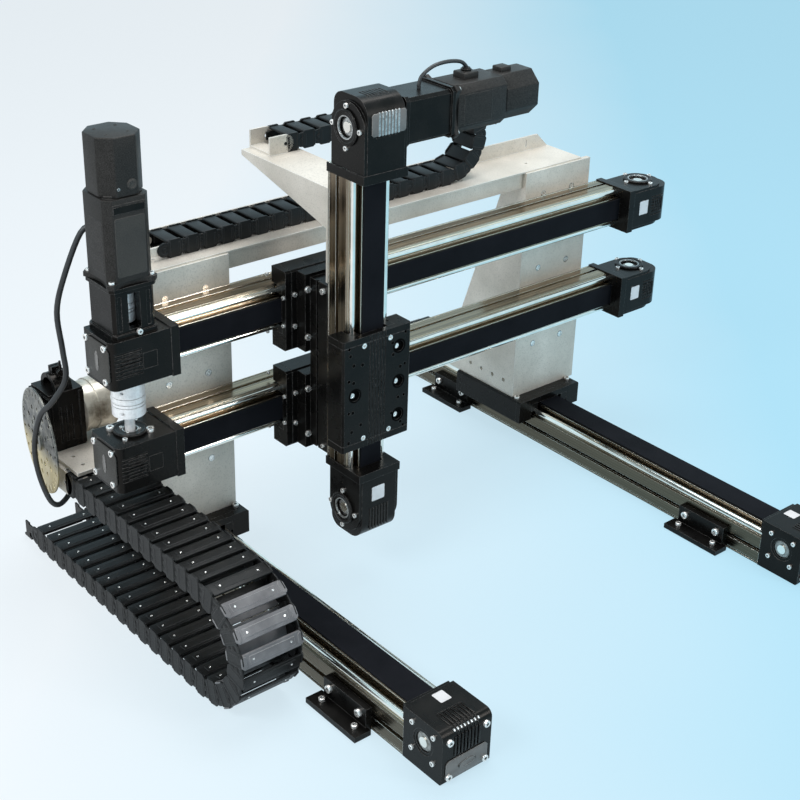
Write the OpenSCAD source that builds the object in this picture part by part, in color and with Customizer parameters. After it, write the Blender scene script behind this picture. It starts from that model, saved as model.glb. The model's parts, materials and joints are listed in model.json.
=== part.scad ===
// Three-axis Cartesian gantry built from five belt driven linear axes.
// Two X axes lie on the floor, two Y axes bridge them one above the other,
// and one Z axis stands on the Y carriages.
// Millimetres, +Z up, +X towards the front ends of the X axes, +Y to the right.
// Origin: on the floor, at the centre of the foot clamps' floor holes.

/* [Layout] */
// Distance between the centre lines of the two X axes
rail_pitch = 800; // [700:10:1000]
// Overall length of each X axis, end to end
x_axis_len = 1076; // [1000:10:1300]
// X of the vertical plane that the Y axes are bolted to
bridge_x = -137; // [-160:1:-110]
// Height of the upper Y axis's centre line
upper_y_z = 458; // [450:1:475]
// Height of the lower Y axis's centre line
lower_y_z = 283; // [270:1:290]
// Y of the left outer end of the Y axes
y_axis_left = -592; // [-640:1:-585]
// Y of the right outer end of the Y axes
y_axis_right = 628; // [610:1:700]
// Y of the Z axis's centre line at rest
z_axis_y = -199; // [-215:1:-150]
// Thickness of the plates between the Y carriages and the Z axis
stack_t = 66; // [50:1:76]
// Height of the Z axis's lower end
z_axis_bottom = 92; // [80:1:100]
// Height of the Z axis's upper end
z_axis_top = 832; // [825:1:950]
// Height of the Z carriage's centre at rest
z_carriage_z = 360; // [350:1:420]

/* [Axis section] */
// Width of the extruded profile of an X axis
prof_w = 92; // [88:1:96]
// Height of the profile's lower box
box_h = 56; // [52:1:58]
// Height from the profile's back to the outside of the belt
belt_h = 75; // [74:1:78]
// Width of the toothed belt
belt_w = 47; // [40:1:48]
// Thickness of the toothed belt
belt_t = 3; // [2:0.5:4]
// Diameter of the round guide shafts
shaft_d = 12; // [8:1:13]
// Outside diameter of the toothed pulleys, under the belt
pulley_d = 40; // [34:1:42]
// Size of the Y axes' section against an X axis's
y_scale = 0.85; // [0.82:0.01:0.87]
// Size of the Z axis's section against an X axis's
z_scale = 0.87; // [0.84:0.01:0.9]

/* [Housings] */
// Length of an end housing on the X axes
hous_len = 83; // [80:1:95]
// Height of an end housing on the X axes
hous_h = 89; // [86:1:94]
// Width of an end housing on the X axes
hous_w = 92; // [90:1:98]
// Length of an end housing on the Y axes
y_hous_len = 102; // [98:1:110]
// Length of an end housing on the Z axis
z_hous_len = 112; // [104:1:118]
// Depth of the Y and Z axes' housings, from the axis's back plane
beam_hous_h = 88; // [84:1:92]
// Radius of the edge between a housing's ribbed faces
nose_r = 12; // [8:1:16]
// Thickness of the collar plate between profile and housing
collar_t = 14; // [8:1:18]
// Depth of the cooling ribs
rib_depth = 1.6; // [1:0.1:2.5]

/* [Carriages] */
// Length of a carriage along an X axis
carr_len = 184; // [160:1:200]
// Length of a carriage along a Y axis
y_carr_len = 144; // [130:1:160]
// Width of a carriage across an X axis
carr_w = 162; // [150:1:170]
// Height of a carriage's top face above the X axis's back plane
carr_h = 89; // [88:1:92]
// Thickness of a carriage's top plate
carr_top_t = 12; // [9:0.5:12.5]
// Height of the tool plate on the Z axis
tool_h = 194; // [180:1:210]
// Width of the tool plate
tool_w = 136; // [128:1:145]
// Radius of the tool plate's tapped mounting holes
tool_hole_r = 2.5; // [2:0.25:3]

/* [Brackets] */
// Width of an upright bracket
brk_w = 165; // [150:1:170]
// Height of the brackets' top edge above the floor
brk_top = 547; // [540:1:560]
// Thickness of the bracket plates
brk_t = 10; // [6:1:12]
// Depth of a bracket's foot
brk_foot = 200; // [150:1:205]

/* [Feet] */
// Distance from the origin to the middle of a foot clamp, along X
foot_x = 334; // [300:1:400]
// Length of a foot clamp
foot_len = 118; // [100:1:130]
// Width of a foot clamp's floor flange
foot_w = 30; // [26:1:36]
// Radius of the floor bolt holes
foot_hole_r = 3.3; // [2.5:0.1:4.5]
// Distance between a clamp's two floor bolts
foot_hole_pitch = 78; // [60:1:90]

/* [Motors] */
// Square size of the servo motors' flange
motor_w = 80; // [76:1:86]
// Length of the servo motors' body
motor_len = 222; // [200:1:235]
// Length of the Z axis's motor
z_motor_len = 178; // [160:1:200]
// Length of the Y motor's adapter, which holds the shaft coupling
adapter_len = 80; // [70:1:90]
// Length of the Z motor's adapter
z_adapter_len = 96; // [84:1:104]
// Square size of the motor adapters
adapter_w = 71; // [66:1:74]

/* [Cable chains] */
// Pitch of a link of the X cable chain
xc_pitch = 33; // [30:1:36]
// Height of a link of the X cable chain
xc_h = 42; // [38:1:46]
// Width of the X cable chain
xc_w = 106; // [90:1:112]
// Pitch of a link of the Y cable chain
yc_pitch = 33; // [30:1:36]
// Height of a link of the Y cable chain
yc_h = 30; // [27:1:34]
// Width of the Y cable chain
yc_w = 56; // [50:1:62]

/* [Hidden] */
$fn = 48;

// Clearances
gap = 0.3;
run_fit = 0.05;
lap = 0.5;
cut = 1;

// Section of an axis, in the X axis's size
rise_w = belt_w + 6;
shaft_y = rise_w / 2 + 3.5 + shaft_d / 2;
shaft_z = box_h + shaft_d / 4;
cavity_w = belt_w + 5;
cavity_z = 6;
slot_z = box_h / 2;
slot_mouth = 8;
slot_in = 14;
pulley_r = pulley_d / 2;
pulley_z = belt_h - belt_t - pulley_r;
leg_z = box_h - 11;
shaft_r = 8;
bearing_r = 16;
bearing_w = 9;
wall = 6;
bolt_r = 4.2;
small_r = 3.2;
side_bolt_at = bearing_r + 16;

// Ends of the axes
x_half = x_axis_len / 2;
rail_y = rail_pitch / 2;
x_axis_in = 40.5;
y_axis_in = 48;
hous_back = 8;
y_hous_w = prof_w * y_scale;
z_hous_w = prof_w * z_scale;
y_prof_a = y_axis_left + y_hous_len;
y_prof_b = y_axis_right - y_hous_len;
z_prof_a = z_axis_bottom + z_hous_len;
z_prof_b = z_axis_top - z_hous_len;

// Places that several pieces share
saddle_x = bridge_x + carr_h * y_scale;
z_back_x = saddle_x + stack_t;
tool_x = z_back_x + carr_h * z_scale;
y_belt_x = bridge_x + pulley_z * y_scale;
z_belt_x = z_back_x + pulley_z * z_scale;
x_drive_x = x_axis_in - x_half;
x_idler_x = x_half - x_axis_in;
y_drive_y = y_axis_left + y_axis_in;
y_idler_y = y_axis_right - y_axis_in;
z_drive_z = z_axis_top - y_axis_in;
z_idler_z = z_axis_bottom + y_axis_in;
carr_mid = bridge_x - 63;
y_hous_top = upper_y_z + y_hous_w / 2;
y_hous_low = lower_y_z + y_hous_w / 2;
saddle_w = carr_w * y_scale;
post_off = 8;

// ---- frames: local x runs along the axis, z from its back towards the belt
module on_rail(side) translate([0, side * rail_y, 0]) children();
module on_beam(z) translate([bridge_x, 0, z]) rotate([90, 0, 90]) children();
module on_column() translate([z_back_x, z_axis_y, 0]) rotate([180, -90, 0]) children();
module along(x) translate([x, 0, 0]) rotate([90, 0, 90]) children();
module across(x, z) translate([x, 0, z]) rotate([90, 0, 0]) children();

// Cap screw with its head on z = 0, and the hole it stands in
module bolt(r, l) {
  difference() {
    cylinder(r = r, h = r * 1.1);
    translate([0, 0, r * 0.5]) cylinder(r = r * 0.5, h = r);
  }
  translate([0, 0, -l]) cylinder(r = r * 0.55, h = l);
}
module bolt_hole(r, l) translate([0, 0, -l]) cylinder(r = r * 0.55 + run_fit, h = l + cut);

// ---- one belt driven axis
module t_slot(k) {
  translate([-3 * k, -slot_mouth * k / 2]) square([3 * k + cut, slot_mouth * k]);
  translate([-9 * k, -slot_in * k / 2]) square([6 * k + 0.01, slot_in * k]);
}

module profile_section(k) {
  w = prof_w * k / 2;
  h = box_h * k;
  top = (belt_h - belt_t) * k - gap;
  difference() {
    union() {
      polygon([[1 - w, 0], [w - 1, 0], [w, 1], [w, h - 3 * k], [w - 3 * k, h],
        [3 * k - w, h], [-w, h - 3 * k], [-w, 1]]);
      translate([-rise_w * k / 2, h - 1]) square([rise_w * k, top - h + 1]);
    }
    for (s = [-1, 1]) {
      translate([s * shaft_y * k, shaft_z * k]) circle(r = shaft_d * k / 2);
      translate([s * w, slot_z * k]) mirror([s < 0 ? 1 : 0, 0]) t_slot(k);
      translate([s * w, 5 * k]) square([2.4 * k, 3 * k], center = true);
    }
    translate([-cavity_w * k / 2, cavity_z * k]) square([cavity_w * k, (box_h - cavity_z - 8) * k]);
    for (s = [-1, 1]) translate([s * prof_w * k / 4, 0]) square([slot_mouth * k, 8 * k], center = true);
  }
}

module axis_profile(k, a, b) along(a) linear_extrude(b - a) profile_section(k);

module guide_shafts(k, a, b) for (s = [-1, 1])
  translate([a, s * shaft_y * k, shaft_z * k]) rotate([0, 90, 0]) cylinder(d = shaft_d * k, h = b - a);

// Closed loop of belt round the pulleys at a and b
module belt_loop(k, a, b) {
  r = pulley_r * k;
  across(0, pulley_z * k) translate([0, 0, -belt_w * k / 2]) linear_extrude(belt_w * k) difference() {
    union() {
      translate([a, -r - belt_t * k]) square([b - a, 2 * (r + belt_t * k)]);
      for (x = [a, b]) translate([x, 0]) circle(r = r + belt_t * k);
    }
    translate([a, -r]) square([b - a, 2 * r]);
    for (x = [a, b]) translate([x, 0]) circle(r = r);
  }
}

// Pulley with its rims and a shaft that reaches da and db either way
module pulley(k, x, da, db) across(x, pulley_z * k) {
  cylinder(r = pulley_r * k - gap, h = belt_w * k - 1, center = true);
  for (s = [-1, 1]) translate([0, 0, s * (belt_w * k / 2 + 1.4)])
    cylinder(r = pulley_r * k + 1.5, h = 1.8, center = true);
  translate([0, 0, -db]) cylinder(r = shaft_r, h = da + db);
}

// ---- end housings, with the profile's end at x = 0
// Outline seen along the pulley's axis
module housing_side(len, h, back, top_r, back_r) {
  translate([0, back]) square([len - back_r, h - back - top_r]);
  translate([0, back + back_r]) square([len, h - back - top_r - back_r]);
  translate([0, back]) square([len - max(top_r, back_r), h - back]);
  translate([len - top_r, h - top_r]) circle(r = top_r);
  translate([len - back_r, back + back_r]) circle(r = back_r);
}

// Room for the belt, the pulley and its bearings
module pulley_room(k, x, w) {
  r = (pulley_r + belt_t) * k + 2;
  rw = belt_w * k + 7;
  translate([-30, -rw / 2, pulley_z * k - r]) cube([x + 30, rw, 2 * r]);
  across(x, pulley_z * k) {
    cylinder(r = r, h = rw, center = true);
    cylinder(r = bearing_r, h = w + 40, center = true);
  }
}

// Clearance where a collar or housing laps over the profile
module axis_void(k) translate([-20, 0, 0]) {
  translate([0, -prof_w * k / 2 - 0.1, -1]) cube([20, prof_w * k + 0.2, box_h * k + 1.1]);
  translate([0, -rise_w * k / 2 - 1, 0]) cube([20, rise_w * k + 2, belt_h * k + 1]);
  for (s = [-1, 1]) translate([0, s * shaft_y * k, shaft_z * k]) rotate([0, 90, 0])
    cylinder(d = shaft_d * k + 1, h = 20);
}

// Four screws at the corners of the end face, turned to face outwards
module end_bolts(len, w, lo, hi) for (y = [-1, 1], z = [lo, hi])
  translate([len, y * (w / 2 - 12), z]) rotate([0, 90, 0]) children();

// Four screws round the bearing on both side faces
module side_bolts(k, x, w, turn) for (s = [-1, 1], a = [turn : 90 : turn + 270])
  translate([x, 0, pulley_z * k]) rotate([-90 * s, 0, 0]) rotate(a)
    translate([side_bolt_at, 0, w / 2]) children();

bolt_l = 12;
// Boxy housing with a ribbed end, as on the X axes and the Y axes' drive ends
module housing_a(k, len, w, h, back, x) difference() {
  union() {
    translate([0, w / 2, 0]) rotate([90, 0, 0]) linear_extrude(w) housing_side(len, h, back, nose_r, 4);
    translate([-6, 4 - w / 2, box_h * k + 4]) cube([7, w - 8, h - box_h * k - 6]);
  }
  pulley_room(k, x, w);
  for (i = [-3 : 3]) {
    translate([len - rib_depth, i * 6.4 - 1.5, h * 0.45]) cube([10, 3, h]);
    translate([len * 0.5, i * 6.4 - 1.5, h - rib_depth]) cube([len, 3, 10]);
  }
  for (s = [-1, 1]) across(x, pulley_z * k) translate([0, 0, s * w / 2])
    cylinder(r = bearing_r + 5, h = 2, center = true);
  end_bolts(len, w, back + 11, h - 17) bolt_hole(bolt_r, bolt_l);
  side_bolts(k, x, w, 45) bolt_hole(small_r, bolt_l);
  axis_void(k);
}

// Round nosed housing with a ring flange on both sides
module housing_b(k, len, w, h, back, x) difference() {
  union() {
    translate([0, w / 2 - 5, 0]) rotate([90, 0, 0]) linear_extrude(w - 10)
      housing_side(len, h, back, 30, 20);
    across(x, (h + back) / 2) cylinder(r = (h - back) / 2 - 1, h = w, center = true);
    translate([0, -w / 2, back + 1]) cube([x, w, h - back - 2]);
  }
  pulley_room(k, x, w);
  across(x, pulley_z * k) for (s = [-1, 1]) translate([0, 0, s * w / 2]) difference() {
    cylinder(r = bearing_r + 11, h = 5, center = true);
    cylinder(r = bearing_r + 7, h = 6, center = true);
  }
  for (i = [-3 : 3]) translate([len * 0.48, i * 6 - 1.4, h - rib_depth]) cube([len, 2.8, 10]);
  for (i = [-3 : 3]) translate([len - rib_depth, i * 6 - 1.4, h * 0.5]) cube([10, 2.8, h]);
  side_bolts(k, x, w, 0) bolt_hole(small_r, bolt_l);
}

// Collar plate round the profile in front of a larger housing
module collar(k, w, h) difference() {
  translate([-collar_t, -w / 2 - 2, 0]) cube([collar_t, w + 4, h + 1]);
  axis_void(k);
}

module bearing_pair(k, x, w) across(x, pulley_z * k) for (s = [-1, 1])
  translate([0, 0, s * (w / 2 - wall - bearing_w / 2)]) difference() {
    cylinder(r = bearing_r, h = bearing_w, center = true);
    cylinder(r = shaft_r + run_fit, h = bearing_w + 2, center = true);
  }

// ---- sliding carriage: a bridge over the belt with a leg down each side
cap_t = 11;
module carriage_corners(len, w, h) for (x = [-1, 1], y = [-1, 1])
  translate([x * (len / 2 - 22), y * (w / 2 - 12), h]) children();
module carriage(k, len, w, h) difference() {
  translate([-len / 2, 0, 0]) along(0) linear_extrude(len) carriage_section(k, w, h);
  for (x = [-len / 2 + cap_t, len / 2 - cap_t - 1]) {
    translate([x, -w, h - 1]) cube([1, 2 * w, 10]);
    for (s = [-1, 1]) translate([x, s * w / 2 - 1, 0]) cube([1, 2, 2 * h]);
  }
}

module carriage_section(k, w, h) {
  t = carr_top_t * k;
  inner = prof_w * k / 2 + 2;
  pad_z = (shaft_z + 2) * k;
  difference() {
    union() {
      difference() {
        polygon([[-w / 2, leg_z * k], [-w / 2, h - 3], [3 - w / 2, h], [w / 2 - 3, h], [w / 2, h - 3],
          [w / 2, leg_z * k]]);
        translate([-inner, 0]) square([2 * inner, h - t]);
      }
      for (s = [-1, 1]) translate([s * (shaft_y + 4) * k - 8 * k, pad_z])
        square([16 * k, h - t - pad_z + lap]);
      translate([-belt_w * k / 2, belt_h * k + gap])
        square([belt_w * k, h - t - belt_h * k - gap + lap]);
    }
    for (s = [-1, 1]) translate([s * shaft_y * k, shaft_z * k]) circle(r = shaft_d * k / 2 + gap);
  }
}

// ---- drives
module chamfered(w, c) polygon([[c - w / 2, -w / 2], [w / 2 - c, -w / 2], [w / 2, c - w / 2],
  [w / 2, w / 2 - c], [w / 2 - c, w / 2], [c - w / 2, w / 2], [-w / 2, w / 2 - c], [-w / 2, c - w / 2]]);

// Servo motor standing on its flange, shaft downwards
flange_t = 8;
flange_bolt_r = 3.4;
flange_hole_at = motor_w * 0.585;
socket_h = 11;
module flange_bolts() for (a = [45 : 90 : 315]) rotate(a) translate([flange_hole_at, 0, flange_t])
  children();
module servo(len) {
  body = motor_w - 6;
  rear = len * 0.6;
  difference() {
    union() {
      linear_extrude(flange_t) chamfered(motor_w, 9);
      translate([0, 0, flange_t - 0.1]) linear_extrude(rear - flange_t + 0.1) chamfered(body, 14);
      translate([0, 0, rear - 0.1]) linear_extrude(len - rear - 6) chamfered(body - 5, 16);
      translate([0, 0, len - 6.2]) linear_extrude(6.2) chamfered(body - 9, 18);
      translate([-body / 2 - socket_h, -13, rear * 0.36]) cube([socket_h + 1, 26, 30]);
      translate([-body / 2 - 7, -10, rear * 1.1]) cube([12, 20, 22]);
    }
    flange_bolts() bolt_hole(flange_bolt_r, flange_t + 1);
    for (x = [-22, 22], y = [-22, 22]) translate([x, y, len - 2]) cylinder(r = 2, h = 3);
    translate([body / 2 - 1, 8 - body / 2, 18]) cube([3, body - 16, rear - 34]);
  }
  translate([body / 2 - 3.5, 10, rear * 1.06]) rotate([0, 90, 0]) cylinder(r = 6, h = 2);
}

// Hollow adapter between housing and motor, with a window to reach the coupling
// and pockets, turned like the housing's screws, that clear their heads
module adapter(len, turn) difference() {
  union() {
    linear_extrude(len) chamfered(adapter_w, 5);
    linear_extrude(7) chamfered(adapter_w + 6, 6);
    translate([0, 0, len - 6]) linear_extrude(6) chamfered(motor_w - 2, 6);
  }
  for (a = [turn : 90 : turn + 270]) rotate(a) translate([side_bolt_at, 0, -1])
    cylinder(r = small_r + 0.4, h = 5.5);
  translate([0, 0, -1]) cylinder(r = 24, h = len + 2);
  translate([0, -10, len * 0.14]) cube([adapter_w, 20, len * 0.7]);
  for (s = [-1, 1]) translate([adapter_w / 2 - 1, s * 24 - 3, 12]) cube([3, 6, len - 26]);
  translate([0, 0, len - flange_t]) flange_bolts() bolt_hole(flange_bolt_r, 5.5);
}

// Two clamped hubs with a spider between them, on the shaft's axis
module coupling(r, len) difference() {
  union() {
    cylinder(r = r, h = len);
    translate([0, 0, len * 0.46]) cylinder(r = r + 0.6, h = len * 0.08);
  }
  for (z = [0.3, 0.4, 0.58]) translate([0, 0, len * z]) difference() {
    cylinder(r = r + 2, h = 1.4);
    translate([0, 0, -1]) cylinder(r = r - 3, h = 4);
  }
  for (z = [0.15, 0.8], s = [-1, 1]) translate([s * r * 0.62, 0, len * z]) rotate([90, 0, 0])
    cylinder(r = 2.4, h = 3 * r);
}

// ---- cable chains
link_t = 3;
pin_r = 3;
bar_t = 4;
// Side plate: round over its own holes, hollowed for the next one, with the
// hollow's inner horn cut back so that the next link can turn by the angle a
module link_plate(p, h, a) difference() {
  union() {
    translate([-p / 2, -h / 2]) square([p, h]);
    translate([-p / 2, 0]) circle(r = h / 2);
  }
  translate([p / 2, 0]) circle(r = h / 2 + gap);
  translate([p / 2, 0]) polygon([[0, 0], [-2 * h * sin(a + 2), 2 * h * cos(a + 2)], [0, 2 * h]]);
  translate([-p / 2, 0]) circle(r = pin_r + run_fit);
}

// Tongue of radius r with its pin, lapping inside the next link's side plate
module link_tongue(s, x0, x1, r, w) {
  translate([0, s * (w / 2 - link_t * 1.5 - gap), 0]) rotate([90, 0, 0])
    linear_extrude(link_t, center = true) union() {
    translate([x0, -r]) square([x1 - x0, 2 * r]);
    translate([x1, 0]) circle(r = r);
  }
  translate([x1, s * (w / 2 - 2 * link_t), 0]) rotate([90, 0, 0])
    cylinder(r = pin_r, h = 2 * link_t + 2, center = true);
}
function tongue_r(p) = p * 0.22;

// What an element that is fixed to the side plates may reach along x before it
// meets the next link's round end, at the height z
function plate_end(p, h, z) = p / 2 - sqrt(pow(h / 2 + gap, 2) - z * z) - gap;

module chain_link(p, h, w, a) union() {
  web_a = -p * 0.26;
  web_b = min(-p * 0.06, plate_end(p, h, 0));
  bar_l = p * 0.7;
  root_b = plate_end(p, h, h / 2 - bar_t);
  for (s = [-1, 1]) {
    translate([0, s * (w - link_t) / 2, 0]) rotate([90, 0, 0]) linear_extrude(link_t, center = true)
      link_plate(p, h, a);
    link_tongue(s, -p * 0.2, p / 2, tongue_r(p), w);
    translate([web_a, s * (w / 2 - link_t) - link_t / 2, -h * 0.3]) cube([web_b - web_a, link_t, h * 0.6]);
  }
  for (s = [-1, 1]) translate([0, 0, s * (h / 2 - bar_t / 2)]) {
    cube([bar_l, w - 2 * (link_t + gap), bar_t], center = true);
    translate([-p * 0.23, -w / 2 + link_t - lap, -bar_t / 2])
      cube([root_b + p * 0.23, w - 2 * (link_t - lap), bar_t]);
  }
}

function bend_r(p, n) = p / 2 / sin(90 / n);

// A chain that lies along x, turns back over itself and returns n_up links
module chain(p, h, w, n_low, n_bend, n_up) {
  a = 180 / n_bend;
  r = bend_r(p, n_bend);
  m = r * cos(a / 2);
  for (i = [1 : n_low]) translate([(0.5 - i) * p, 0, 0]) chain_link(p, h, w, a);
  for (j = [0.5 : n_bend]) translate([m * sin(j * a), 0, r - m * cos(j * a)])
    rotate([0, -j * a, 0]) chain_link(p, h, w, a);
  for (i = [1 : n_up]) translate([(0.5 - i) * p, 0, 2 * r]) rotate([0, 180, 0])
    chain_link(p, h, w, a);
}

// End bracket with tongues: its pins are at x = 0 and its foot runs to -x
module chain_foot(p, h, w) {
  for (s = [-1, 1]) link_tongue(s, -h / 2 - 12, 0, tongue_r(p), w);
  iw = w - 2 * link_t - 2 * gap;
  translate([-h / 2 - 26, -iw / 2, -h / 2]) difference() {
    cube([24, iw, 4]);
    for (y = [0.25, 0.75]) translate([10, iw * y, -1]) cylinder(r = small_r, h = 6);
  }
  for (s = [-1, 1]) translate([-h / 2 - 14, s * (iw / 2 - link_t / 2), -h / 8])
    cube([12, link_t, h * 0.75], center = true);
}

// End bracket with cheeks: holes round the last link's pins, plate on top
module chain_head(h, w) {
  for (s = [-1, 1]) translate([0, s * (w - link_t) / 2, 0]) rotate([90, 0, 0])
    linear_extrude(link_t, center = true) difference() {
    union() {
      circle(r = h / 2);
      translate([-h / 2 - 16, -h / 2]) square([h / 2 + 16, h]);
    }
    circle(r = pin_r + run_fit);
  }
  translate([-h / 2 - 16, -w / 2 + 1, h / 2 - 4]) cube([h / 2 + 12, w - 2, 4]);
}

// Round cable swept along a route, as one closed surface
function route_dir(p, i) = p[min(i + 1, len(p) - 1)] - p[max(i - 1, 0)];
function unit(v) = v / norm(v);
function side_of(d) = unit(cross(d, abs(d[2]) > 0.8 * norm(d) ? [1, 0, 0] : [0, 0, 1]));
function ring_at(p, d, r, n) = let (s = side_of(d), t = unit(cross(d, s)))
  [for (k = [0 : n - 1]) p + r * (cos(k * 360 / n) * s + sin(k * 360 / n) * t)];
function spline(p, i, t) = let (a = p[max(i - 1, 0)], b = p[i], c = p[i + 1],
  e = p[min(i + 2, len(p) - 1)])
  0.5 * (2 * b + (c - a) * t + (2 * a - 5 * b + 4 * c - e) * t * t + (3 * b - a - 3 * c + e) * t * t * t);
module sweep_route(points, r, n, steps) {
  path = concat([for (i = [0 : len(points) - 2]) for (k = [0 : steps - 1]) spline(points, i, k / steps)],
    [points[len(points) - 1]]);
  m = len(path);
  rings = [for (i = [0 : m - 1]) each ring_at(path[i], route_dir(path, i), r, n)];
  sides = [for (i = [0 : m - 2]) for (k = [0 : n - 1])
    [i * n + k, i * n + (k + 1) % n, (i + 1) * n + (k + 1) % n, (i + 1) * n + k]];
  polyhedron(points = rings, faces = concat([[for (k = [0 : n - 1]) n - 1 - k]], sides,
    [[for (k = [0 : n - 1]) (m - 1) * n + k]]), convexity = 6);
}

// ================= base =================
module x_profile_left() color("tan") on_rail(-1) axis_profile(1, hous_len - x_half, x_half - hous_len);
module x_profile_right() color("tan") on_rail(1) axis_profile(1, hous_len - x_half, x_half - hous_len);
module x_guide_shafts() color("silver") for (s = [-1, 1]) on_rail(s)
  guide_shafts(1, hous_len - x_half, x_half - hous_len);
module x_belts() color([0.12, 0.12, 0.13]) for (s = [-1, 1]) on_rail(s)
  belt_loop(1, x_drive_x, x_idler_x);
module x_end(side, m) translate([0, side * rail_y, 0]) mirror([m, 0, 0])
  translate([x_half - hous_len, 0, 0]) children();
module x_housing() housing_a(1, hous_len, hous_w, hous_h, 0, hous_len - x_axis_in);
module x_drive_housing_left() color([0.15, 0.15, 0.16]) x_end(-1, 1) x_housing();
module x_drive_housing_right() color([0.15, 0.15, 0.16]) x_end(1, 1) x_housing();
module x_idler_housings() color([0.15, 0.15, 0.16]) for (s = [-1, 1]) x_end(s, 0) x_housing();
module x_bearings() color("silver") for (s = [-1, 1], x = [x_drive_x, x_idler_x]) on_rail(s)
  bearing_pair(1, x, hous_w);

foot_plate_t = 11;
foot_slot_x = foot_len / 2 - 24;
module foot_clamp() difference() {
  union() {
    translate([-foot_len / 2, 8, 0]) cube([foot_len, foot_w, 9]);
    translate([9 - foot_len / 2, 0, 0]) cube([foot_len - 18, foot_plate_t, slot_z + 13]);
    translate([9 - foot_len / 2, -2.6, slot_z - slot_mouth / 2 + 0.4])
      cube([foot_len - 18, 3, slot_mouth - 0.8]);
  }
  for (s = [-1, 1]) translate([s * foot_hole_pitch / 2, foot_w / 2 + 8, -1])
    cylinder(r = foot_hole_r, h = 12);
  foot_bolts() bolt_hole(5, 16);
}
module foot_bolts() for (s = [-1, 1]) translate([s * foot_slot_x, foot_plate_t, slot_z])
  rotate([-90, 0, 0]) children();
module each_foot() for (s = [-1, 1], e = [-1, 1], x = [-1, 1])
  translate([x * foot_x, s * rail_y + e * prof_w / 2, 0]) mirror([0, e < 0 ? 1 : 0, 0]) children();
module foot_clamps() color([0.13, 0.13, 0.14]) each_foot() foot_clamp();
module base_screws() color("silver") {
  each_foot() foot_bolts() bolt(5, 16);
  for (s = [-1, 1], m = [0, 1]) x_end(s, m) {
    end_bolts(hous_len, hous_w, 11, hous_h - 17) bolt(bolt_r, bolt_l - 1);
    side_bolts(1, hous_len - x_axis_in, hous_w, 45) bolt(small_r, bolt_l - 1);
  }
}

// X cable chain, on the floor beside the left X axis
chain_y = -rail_y - 145;
x_turn = bridge_x + 315;
x_low = 16;
x_bend = 8;
x_up = 12;
x_chain_top = 2 * bend_r(xc_pitch, x_bend) + xc_h;
module x_cable_chain() color([0.1, 0.1, 0.1]) translate([x_turn, chain_y, xc_h / 2])
  chain(xc_pitch, xc_h, xc_w, x_low, x_bend, x_up);
module chain_anchor() color([0.12, 0.12, 0.13])
  translate([x_turn - x_low * xc_pitch, chain_y, xc_h / 2]) chain_foot(xc_pitch, xc_h, xc_w);

// ================= bridge =================
module x_carriage(side) translate([carr_mid, side * rail_y, 0]) difference() {
  carriage(1, carr_len, carr_w, carr_h);
  carriage_corners(carr_len, carr_w, carr_h) bolt_hole(bolt_r, carr_top_t);
}
module x_carriage_left() color([0.12, 0.12, 0.13]) x_carriage(-1);
module x_carriage_right() color([0.12, 0.12, 0.13]) x_carriage(1);

// Upright bracket: front plate, sloped side plate on its inner edge and a foot
slope_w = 46;
foot_step = 14;
brk_hole_z = [lower_y_z - 89, upper_y_z - 106, brk_top - 47];
module bracket(side) mirror([0, side < 0 ? 1 : 0, 0]) translate([bridge_x, rail_y + post_off, 0])
  difference() {
  union() {
    translate([-brk_t, -brk_w / 2, carr_h]) cube([brk_t, brk_w, brk_top - carr_h]);
    translate([0, brk_t - brk_w / 2, 0]) rotate([90, 0, 0]) linear_extrude(brk_t)
      polygon([[-1, carr_h], [-brk_foot, carr_h], [-brk_foot, carr_h + foot_step], [-slope_w, brk_top],
        [-1, brk_top]]);
    translate([-brk_foot, -brk_w / 2, carr_h]) cube([brk_foot, brk_w * 0.5, brk_t]);
  }
  for (y = [-37, 37], z = brk_hole_z) translate([-brk_t - 1, y, z]) rotate([0, 90, 0])
    cylinder(r = small_r, h = brk_t + 2);
  for (i = [0 : 4]) translate([-28 - i * 32, -brk_w / 2 - 1, carr_h + 28]) rotate([-90, 0, 0])
    cylinder(r = 4.2, h = brk_t + 2);
  foot_rows() bolt_hole(bolt_r, brk_t + 1);
}
module foot_rows() for (x = [-46, -96, -146], y = [-60, -18]) translate([x, y, carr_h + brk_t])
  children();
module bracket_left() color("silver") bracket(-1);
module bracket_right() color("silver") bracket(1);
module each_beam() for (z = [upper_y_z, lower_y_z]) on_beam(z) children();
module y_end_a() translate([y_axis_left + y_hous_len, 0, 0]) mirror([1, 0, 0]) children();
module y_end_b() translate([y_axis_right - y_hous_len, 0, 0]) children();
module bridge_screws() color("silver") {
  for (m = [0, 1]) mirror([0, m, 0]) translate([bridge_x, rail_y + post_off, 0]) foot_rows()
    bolt(bolt_r, brk_t);
  for (s = [-1, 1]) translate([carr_mid, s * rail_y, 0]) intersection() {
    carriage_corners(carr_len, carr_w, carr_h) bolt(bolt_r, carr_top_t - 1);
    translate([bridge_x - carr_mid + 2, -carr_w, 0]) cube([carr_len, 2 * carr_w, 2 * carr_h]);
  }
  each_beam() y_end_a() {
    end_bolts(y_hous_len, y_hous_w, hous_back + 11, beam_hous_h - 17) bolt(bolt_r, bolt_l - 1);
    side_bolts(y_scale, y_hous_len - y_axis_in, y_hous_w, 45) bolt(small_r, bolt_l - 1);
  }
  each_beam() y_end_b() side_bolts(y_scale, y_hous_len - y_axis_in, y_hous_w, 0)
    bolt(small_r, bolt_l - 1);
  translate([y_belt_x, y_drive_y, y_motor_z]) flange_bolts() bolt(flange_bolt_r, flange_t + 5);
}

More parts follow.
